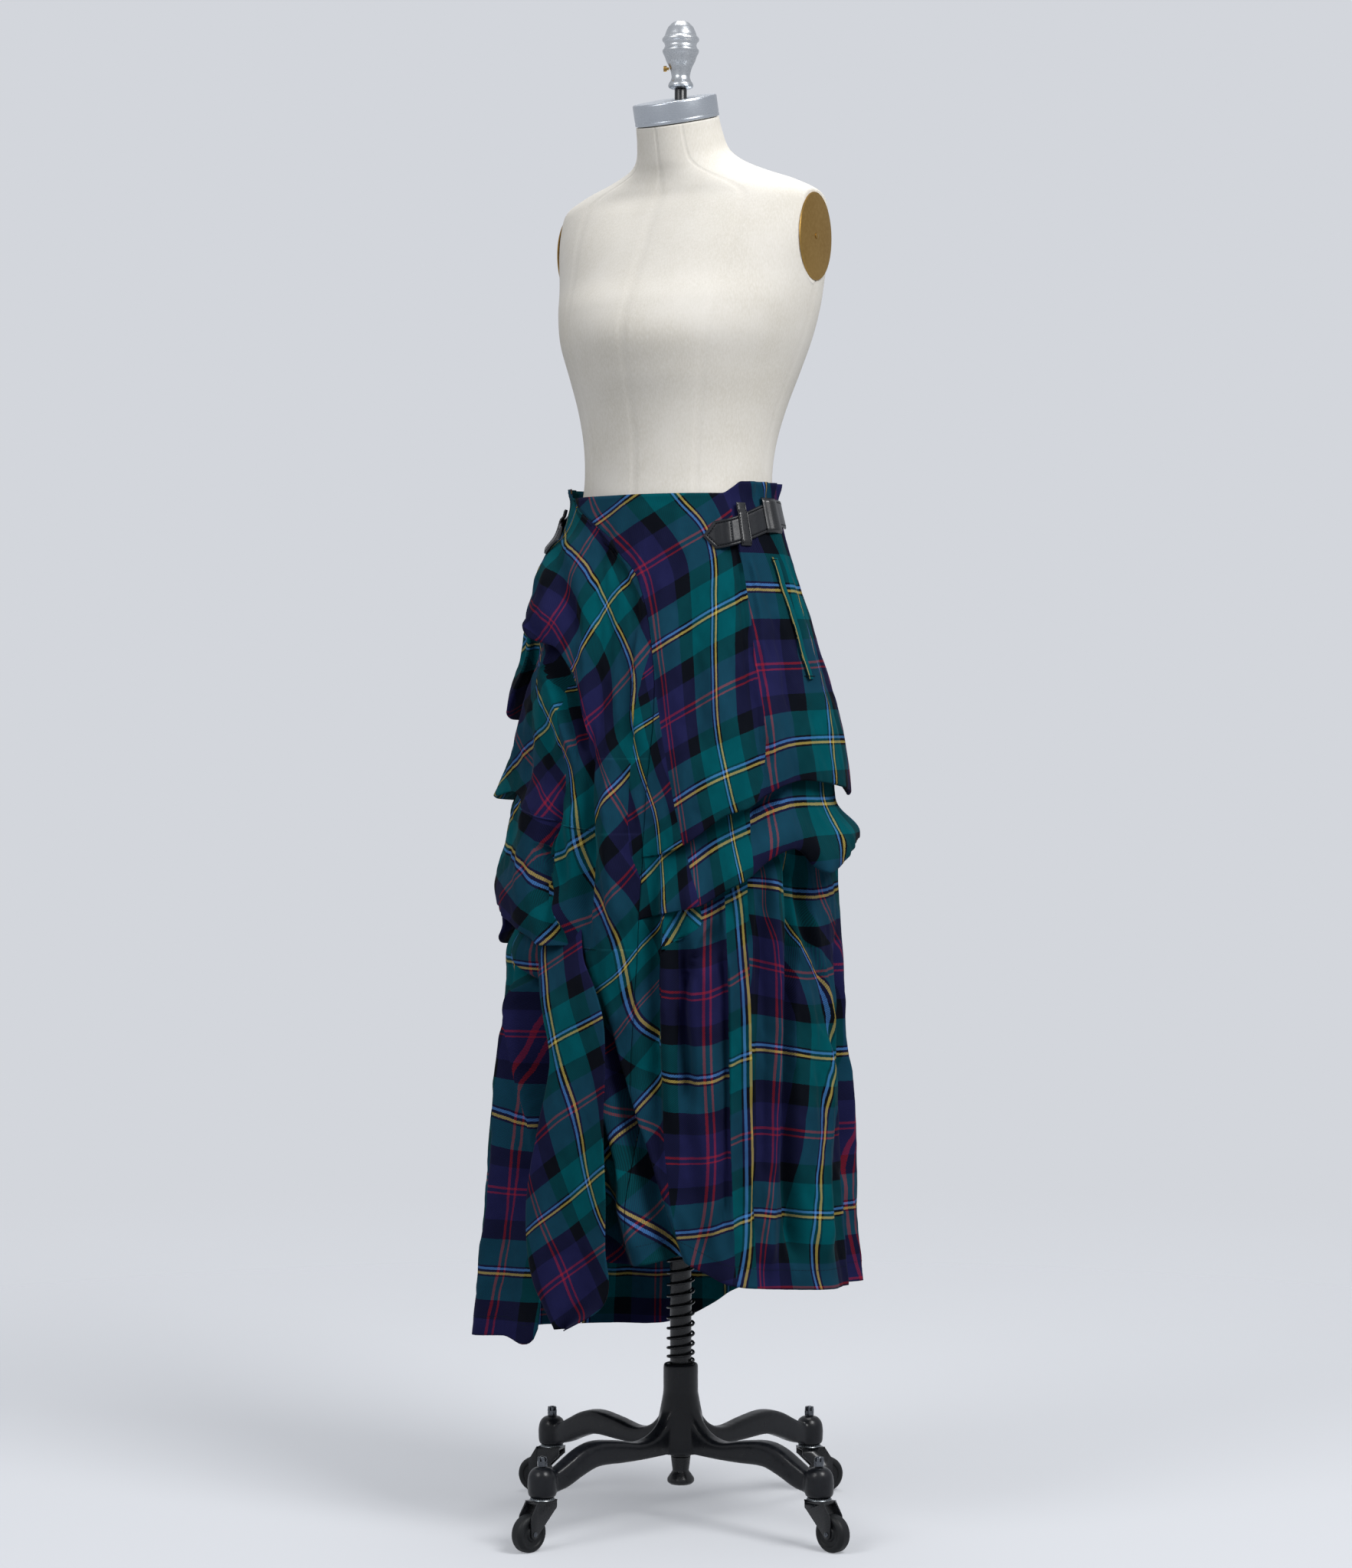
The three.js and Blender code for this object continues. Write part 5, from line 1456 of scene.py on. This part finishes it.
# The strap's bed: the cloth's lift under it, evened out along its length.
def strapBed(feelers, side):
    turns = np.linspace(strap["from"] - 4, strap["to"] + 4, 60)
    lifts = np.array([
        max(clothLift(feelers, side * t, float(strapHeight(t)) + across) for across in (-15, -8, 0, 8, 15))
        for t in turns
    ])
    spread = np.array([lifts[max(0, i - 3):i + 4].max() for i in range(len(turns))])
    window = np.hanning(9)[1:-1]
    even = np.convolve(np.pad(spread, 3, mode="edge"), window / window.sum(), "valid")
    return lambda turn: np.interp(np.abs(turn), turns, even)


def makeStrap(side, label, feelers):
    bed = strapBed(feelers, side)
    base = strap["clear"] + strap["thickness"] + (0.5 if side < 0 else 0)
    turns = np.linspace(strap["from"], strap["to"], 190)
    middle = skirtPoints(side * turns, strapHeight(turns), bed(turns) + base)
    lengths = np.concatenate([[0], np.cumsum(np.linalg.norm(np.diff(middle, axis=0), axis=1))])
    half = strap["half"] * np.clip(0.06 + lengths / strap["tip"], 0, 1)
    v = np.linspace(-1, 1, 33)[None] * half[:, None]
    tipEdge = (lengths[:, None] - strap["tip"] * (np.abs(v) / strap["half"])) * 0.72
    edge = np.minimum(strap["half"] - np.abs(v), np.maximum(tipEdge, 0))
    edge = np.minimum(edge, lengths[-1] - lengths[:, None])
    # rounded edges, with the stitched lines pressed in
    crown = 0.9 * (1 - np.exp(-edge / 0.7)) - 0.9 * np.exp(-((edge - strap["groove"]) / 0.6) ** 2)
    crown = crown - 0.8 * np.exp(-((lengths[:, None] - strap["box"]) / 0.7) ** 2) * (edge > strap["groove"])
    turn = np.repeat(turns[:, None], 33, 1)
    top = skirtPoints(side * turn, strapHeight(turn) + v, bed(turn) + base - 0.9 + crown)
    under = skirtPoints(side * turn, strapHeight(turn) + v, bed(turn) + base - strap["thickness"])
    piece = makeSlab(f"strap_{label}_leather", top, under, leather)
    sharpen(recalculate(piece), 50)
    finish(piece, "form", [f"strap_{label}"])

    # two rows of stitches that meet at the point, and the row across it
    def seamPoint(t, height):
        where = np.interp(t, lengths, turns)
        return skirtPoints(side * where, strapHeight(where) + height, bed(where) + base - 0.15)

    inset = strap["half"] - strap["groove"]
    tip = strap["groove"] * 1.4
    corner = tip + strap["tip"] * inset / strap["half"]
    run = np.linspace(corner, lengths[-1] - 6, 160)
    bend = np.linspace(0, 1, 12)
    paths = [
        [seamPoint(t, inset) for t in run],
        [seamPoint(t, -inset) for t in run],
        [seamPoint(mix(corner, tip, s), inset * (1 - s)) for s in bend],
        [seamPoint(mix(tip, corner, s), -inset * s) for s in bend],
        [seamPoint(strap["box"], mix(-inset, inset, s)) for s in bend],
    ]
    growAlong(f"strap_{label}_stitches", beadTree, paths, thread, "form", "strap_leather", **stitch)
    return bed, base


# A band that wraps up and over the strap at a turn, from `down` below the strap's middle to `up` above it.
# `roll` is the height of a buckle's covered bar; a keeper has none, and is stitched.
def makeBand(kind, side, label, bed, base, size, roll=0.0):
    across = np.linspace(-1, 1, 21)[None]
    rise = np.repeat(np.linspace(-size["down"], size["up"], 37)[:, None], 21, 1)
    turn = size["turn"] + across * size["half"] + 0 * rise
    width = size["half"] * 2.45
    edge = np.minimum((1 - np.abs(across)) * width, np.minimum(rise + size["down"], size["up"] - rise))
    over = smooth(edge, 0, 0.9) * 0.8 - 0.5 * np.exp(-((edge - 2.0) / 0.45) ** 2)
    over = over + roll * np.sqrt(np.clip(1 - (across / 0.62) ** 2, 0, 1)) * smooth(edge, 1.5, 4)

    # past the strap's edges the band dips towards the cloth
    def bandPoints(turn, rise, lift):
        dip = smooth(np.abs(rise) - strap["half"], 0, 6) * 2.6
        height = strapHeight(size["turn"]) + rise
        return skirtPoints(side * turn, height, bed(turn) + base + size["rise"] - 2.0 - dip + lift)

    name = f"{kind}_{label}"
    top, under = bandPoints(turn, rise, over), bandPoints(turn, rise, -1.2)
    piece = makeSlab(f"{name}_leather", top, under, polishedLeather)
    sharpen(recalculate(piece), 50)
    finish(piece, "form", [name])
    if roll == 0:
        heights = np.linspace(-size["down"] + 3, size["up"] - 3, 60)
        reach = (1 - 2.0 / width) * size["half"]
        paths = [bandPoints(size["turn"] + off + 0 * heights, heights, 0.75) for off in (-reach, reach)]
        growAlong(f"{name}_leather_stitches", beadTree, paths, thread, "form", "strap_leather", **stitch)


def makeWelt(side, label, feelers):
    rows, columns = 90, 13
    part = np.linspace(0, 1, rows)
    across = np.linspace(-1, 1, columns)
    z = mix(welt["top"], welt["foot"], part)
    centre = mix(welt["topTurn"], welt["footTurn"], part)
    half = welt["half"] * mix(1, 0.62, part) / welt["degreeLength"]
    beds = np.array([
        max(clothLift(feelers, side * (turn + off), height + up) for off in (-2, 0, 2) for up in (-4, 4))
        for turn, height in zip(centre, z)
    ])
    bed = np.array([beds[max(0, i - 5):i + 6].mean() for i in range(rows)])[:, None]
    turn = side * (centre[:, None] + across * half[:, None])
    height = np.repeat(z[:, None], columns, 1)
    crown = 0.9 * (1 - np.abs(across) ** 4) + 0.35 * np.exp(-((across + 0.55) / 0.12) ** 2)
    end = smooth(np.minimum(np.arange(rows), np.arange(rows)[::-1])[:, None], -1, 3)
    top = skirtPoints(turn, height, bed + 0.5 + crown * end)
    under = skirtPoints(turn, height, bed - 0.5)
    piece = makeSlab(f"pocket_welt_{label}_cloth", top, under, tartan)
    # an azure and yellow pair runs down the welt
    warp = 0.208 * sett["repeat"] + 2.2 * (1 + across + 0 * turn) * welt["half"]
    uv = np.stack([warp, 0.1 * sett["repeat"] - (height - 1060) * 0.12], -1).reshape(-1, 2) / 1000
    corners = np.empty(len(piece.data.loops), int)
    piece.data.loops.foreach_get("vertex_index", corners)
    piece.data.uv_layers.new(name="cloth").data.foreach_set("uv", np.concatenate([uv, uv])[corners].ravel())
    finish(piece, "form", [f"pocket_welt_{label}"])
    return piece


# A line of stitches on the cloth through turns and heights.
def sewnPath(feelers, turns, heights):
    lifts = [clothLift(feelers, turn, z) + 0.12 for turn, z in zip(turns, heights)]
    return [skirtPoints(turn, z, lift) for turn, z, lift in zip(turns, heights, lifts)]


hemRuns = {
    "left": (leftHem, [(17.5, 118)]),
    "right": (rightHem, [(-118, -18), (-13, 13)]),
    "back": (backHem, [(125, 235)]),
}


def makeHemStitches(feelers):
    for label, (hem, spans) in hemRuns.items():
        paths = []
        for start, end in spans:
            turns = np.arange(start, end, 0.6)
            paths.append(sewnPath(feelers, turns, along(hem, "z", turns) + hemStitch["rise"]))
        growAlong(f"{label}_hem_stitches", beadTree, paths, hemThread, "form", "tartan", **hemStitch["sizes"])


# The thick bars that hold both ends of a pocket's welt.
def makePocketBars(side, label, feelers):
    half = (welt["half"] + 1.2) / welt["degreeLength"]
    paths = []
    for z, turn in ((welt["top"] - 3, welt["topTurn"]), (welt["foot"] + 3, welt["footTurn"])):
        turns = side * (turn + np.linspace(-half, half, 8))
        paths.append(sewnPath(feelers, turns, np.full(8, float(z))))
    growAlong(f"pocket_bar_{label}_stitches", beadTree, paths, thread, "form", "tartan", **barStitch)


feelers = makeFeelers([leftPanel, rightPanel, backPanel])
makeHemStitches(feelers)
welts = []
for side, label in ((1, "left"), (-1, "right")):
    bed, base = makeStrap(side, label, feelers)
    makeBand("keeper", side, label, bed, base, keeper)
    makeBand("buckle", side, label, bed, base, buckle, roll=2.4)
    welts.append(makeWelt(side, label, feelers))
feelers += makeFeelers(welts)
makePocketBars(1, "left", feelers)
makePocketBars(-1, "right", feelers)
print("straps, keepers, buckles and pocket welts made")


# The pole's spring, the base casting and the casters.
spring = {"radius": 15.3, "wire": 1.6, "foot": 188, "head": 340, "turns": 12, "close": 0.36}
# An arm's underside, top and half width by its reach; it starts outside the hub's bore.
armRows = table(
    ("reach", "low", "high", "half"),
    (17, 81, 150, 10), (28, 81, 124, 10), (45, 81, 108, 10.5), (70, 81, 102, 11), (105, 82, 108, 11.5),
    (140, 83, 112, 11.5), (165, 76, 107, 11.5), (190, 66, 95, 11), (212, 62, 84, 9),
)


def standMatrix(turn, reach=0.0, trail=None):
    place = Matrix.Rotation(math.radians(turn), 4, "Z") @ Matrix.Translation((reach, 0, 0))
    if trail is None:
        return place
    return Matrix.Translation(place.translation) @ Matrix.Rotation(math.radians(trail), 4, "Z")


def makePole():
    r = stand["poleRadius"]
    collar = stand["collar"]
    outline = [(0, 76), (r - 0.8, 76), (r, 77), (r, collar), (r + 4.4, collar + 0.6), (r + 4.4, collar + 8),
               (r + 3.4, collar + 9), (r, collar + 10), (r, 1632), (7.2, 1636), (7.2, 1681.1), (0, 1681.1)]
    turnedPiece("pole_steel", rounded(outline, 0.5, 2), blackSteel, "pole", ["pole"], 56)
    foot = [(0, 43), (13, 43), (16, 46), (16, 49.5), (13, 54), (9.6, 58.5), (11.7, 75.6), (0, 75.6)]
    foot = rounded(foot, 1.2, 4)
    turnedPiece("pole_foot_steel", foot, blackSteel, "pole", ["pole_foot"], 56)


def makeSpring():
    path = []
    steps = spring["turns"] * 40
    for i in range(steps + 1):
        turns = i / 40
        share = 0.03 * turns + (1 - spring["close"]) * (turns / spring["turns"]) ** 1.25
        angle = math.tau * turns
        path.append((spring["radius"] * math.cos(angle), spring["radius"] * math.sin(angle),
                     spring["foot"] + (spring["head"] - spring["foot"]) * share))
    coil = growAlong("spring_wire", wireTree, [path], blackSteel, None, "black_steel", ["spring"],
                     Radius=spring["wire"])
    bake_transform(coil)


def armShape(turn):
    reaches = np.linspace(17, 212, 50)
    points = []
    for reach in reaches:
        low, high, half = (float(along(armRows, column, reach)) for column in ("low", "high", "half"))
        for k in range(28):
            angle = math.tau * k / 28
            corner = [math.copysign(abs(f(angle)) ** 0.42, f(angle)) for f in (math.cos, math.sin)]
            points.append((reach, corner[0] * half, (low + high) / 2 + corner[1] * (high - low) / 2))
    faces = gridFaces(len(reaches), 28, closed=True)
    faces.append(tuple(range(28)))
    faces.append(tuple(28 * (len(reaches) - 1) + k for k in reversed(range(28))))
    return transformPoints(points, standMatrix(turn)), faces


def makeBase():
    hub = [
        (24, 80), (28, 84), (28.5, 100), (26.5, 120), (23, 138), (20.5, 152), (20.5, 184), (19, 186),
        (14, 186), (14, 80), (24, 80),
    ]
    stem = [(0, 60), (15, 60), (16.5, 63), (17, 76), (16, 85), (12, 91.5), (7, 94), (0, 94)]
    shapes = [turnedShape(rounded(hub, 1.5), 48)]
    for k in range(4):
        turn = stand["turn"] + 45 + 90 * k
        shapes.append(armShape(turn))
        points, faces = turnedShape(rounded(stem, 2.5), 40)
        shapes.append((transformPoints(points, standMatrix(turn, stand["armReach"])), faces))
    piece = recalculate(makeMesh("base_casting_iron", *joinShapes(*shapes), blackIron), 1e-5)
    melt = piece.modifiers.new("melt", "REMESH")
    melt.mode = "VOXEL"
    melt.voxel_size = stand["voxel"] / 1000
    melt.use_smooth_shade = True
    soften = piece.modifiers.new("soften", "SMOOTH")
    soften.iterations = 9
    settle(piece)
    finish(piece, "stand", ["base_casting"])


def prism(outline, low, high):
    count = len(outline)
    points = [(x, low, z) for x, z in outline] + [(x, high, z) for x, z in outline]
    faces = [tuple(range(count)), tuple(reversed(range(count, 2 * count)))]
    faces += [(k, k + count, (k + 1) % count + count, (k + 1) % count) for k in range(count)]
    return points, faces


def bevelled(piece, width, segments=2):
    trim = piece.modifiers.new("edges", "BEVEL")
    trim.width = width / 1000
    trim.segments = segments
    trim.limit_method = "ANGLE"
    return settle(piece)


casters = [("front_left", 2, 225), ("front_right", 3, 315), ("rear_right", 0, 20), ("rear_left", 1, 160)]
wheel = {"radius": 21.5, "width": 17, "bore": 3, "trail": 21}


def makeNut(name, place):
    shapes = [turnedShape([(0, 94.5), (6.1, 94.5), (6.1, 100.6), (0, 100.6)], 6)]
    shapes.append(turnedShape([(0, 100.2), (3.4, 100.2), (3.4, 104.6), (2.6, 105.6), (0, 106)], 20))
    # the castle nut's six lugs stand round the stem's end
    walls = [(j, (j + 1) % 5, (j + 1) % 5 + 5, j + 5) for j in range(5)]
    for k in range(6):
        lug = []
        for z, r in ((100, 5.7), (105, 5.2)):
            for reach, off in ((3.2, -16), (3.2, 16), (r, 20), (r, 0), (r, -20)):
                angle = math.radians(60 * k + off)
                lug.append((reach * math.cos(angle), reach * math.sin(angle), z))
        shapes.append((lug, [(4, 3, 2, 1, 0), (5, 6, 7, 8, 9)] + walls))
    points, faces = joinShapes(*shapes)
    piece = recalculate(makeMesh(f"stem_nut_{name}_steel", transformPoints(points, place), faces, nutSteel))
    bevelled(piece, 0.35)
    finish(sharpen(piece, 30), "stand", ["stem_nut_" + name])


def makeFork(name, place):
    top, trail, r = 56.5, wheel["trail"], wheel["radius"]
    angles = [math.radians(a) for a in range(200, 341, 20)]
    foot = [(trail + 5.5 * math.cos(angle), r + 5.5 * math.sin(angle)) for angle in angles]
    cheek = [(-13, top), (-13, top - 9), (-9.5, top - 12)] + foot
    cheek += [(trail + 6, r + 14), (trail + 5, r + 20), (16, top)]
    shapes = [prism(cheek, 9.0, 10.8), prism(cheek, -10.8, -9.0)]
    shapes.append(prism([(-13, top - 3), (16, top - 3), (16, top), (-13, top)], -10.8, 10.8))
    points, faces = joinShapes(*shapes)
    piece = recalculate(makeMesh(f"fork_{name}_plate", transformPoints(points, place), faces, blackSteel))
    bevelled(piece, 0.5)
    axle = [
        (0, -12.2), (1.6, -12.2), (2.9, -11.6), (2.9, -10.6), (2.2, -10.4), (2.2, 10.4), (2.9, 10.6),
        (2.9, 11.6), (1.6, 12.2), (0, 12.2),
    ]
    points, faces = turnedShape(axle, 24)
    lie = place @ Matrix.Translation((trail, 0, r)) @ Matrix.Rotation(math.pi / 2, 4, "X")
    rivet = recalculate(makeMesh(f"axle_{name}_rivet", transformPoints(points, lie), faces, nutSteel))
    finish(sharpen(piece, 30), "caster_" + name, ["fork_" + name])
    finish(sharpen(rivet, 40), "caster_" + name, ())


def makeBearing(name, place):
    plates = [turnedShape([(0, 56.9), (13.8, 56.9), (14.5, 57.3), (14.1, 57.9), (0, 57.9)], 40),
              turnedShape([(0, 58.9), (12.6, 58.9), (13.4, 59.3), (12.8, 59.6), (0, 59.6)], 40),
              turnedShape([(0, 57.8), (10.8, 57.8), (10.8, 59), (0, 59)], 40)]
    points, faces = joinShapes(*plates)
    piece = recalculate(makeMesh(f"bearing_{name}_race", transformPoints(points, place), faces, bareSteel))
    finish(sharpen(piece, 40), "caster_" + name, ["bearing_ring_" + name])
    ring = [(12.1 * math.cos(math.tau * k / 60), 12.1 * math.sin(math.tau * k / 60), 58.4) for k in range(60)]
    growAlong(f"bearing_{name}_balls", beadTree, [transformPoints(ring, place)], bareSteel, "caster_" + name,
              "bare_steel", closed=True, Pitch=2.9, Radius=1.0, Length=2.0)


def makeWheel(name, place):
    r, half, bore = wheel["radius"], wheel["width"] / 2, wheel["bore"]
    side = [
        (bore, half), (7.2, half), (8, half - 0.5), (8.6, half - 1.8), (13.6, half - 1.8), (14.6, half - 0.4),
        (17.6, half - 0.1), (r - 1.5, half - 1.6), (r, half - 4),
    ]
    outline = [(x, -y) for x, y in side] + side[::-1] + [(bore, -half)]
    points, faces = turnedShape(rounded(outline, 1.0, 3), 72)
    lie = place @ Matrix.Translation((wheel["trail"], 0, r)) @ Matrix.Rotation(math.pi / 2, 4, "X")
    piece = recalculate(makeMesh(f"wheel_{name}_tread", transformPoints(points, lie), faces, tread))
    finish(sharpen(piece, 45), "roller_" + name, ["wheel_" + name])


makePole()
makeSpring()
makeBase()
for name, arm, trail in casters:
    place = standMatrix(stand["turn"] + 45 + 90 * arm, stand["armReach"], stand["turn"] + trail)
    makeNut(name, place)
    makeFork(name, place)
    makeBearing(name, place)
    makeWheel(name, place)
print("stand made")
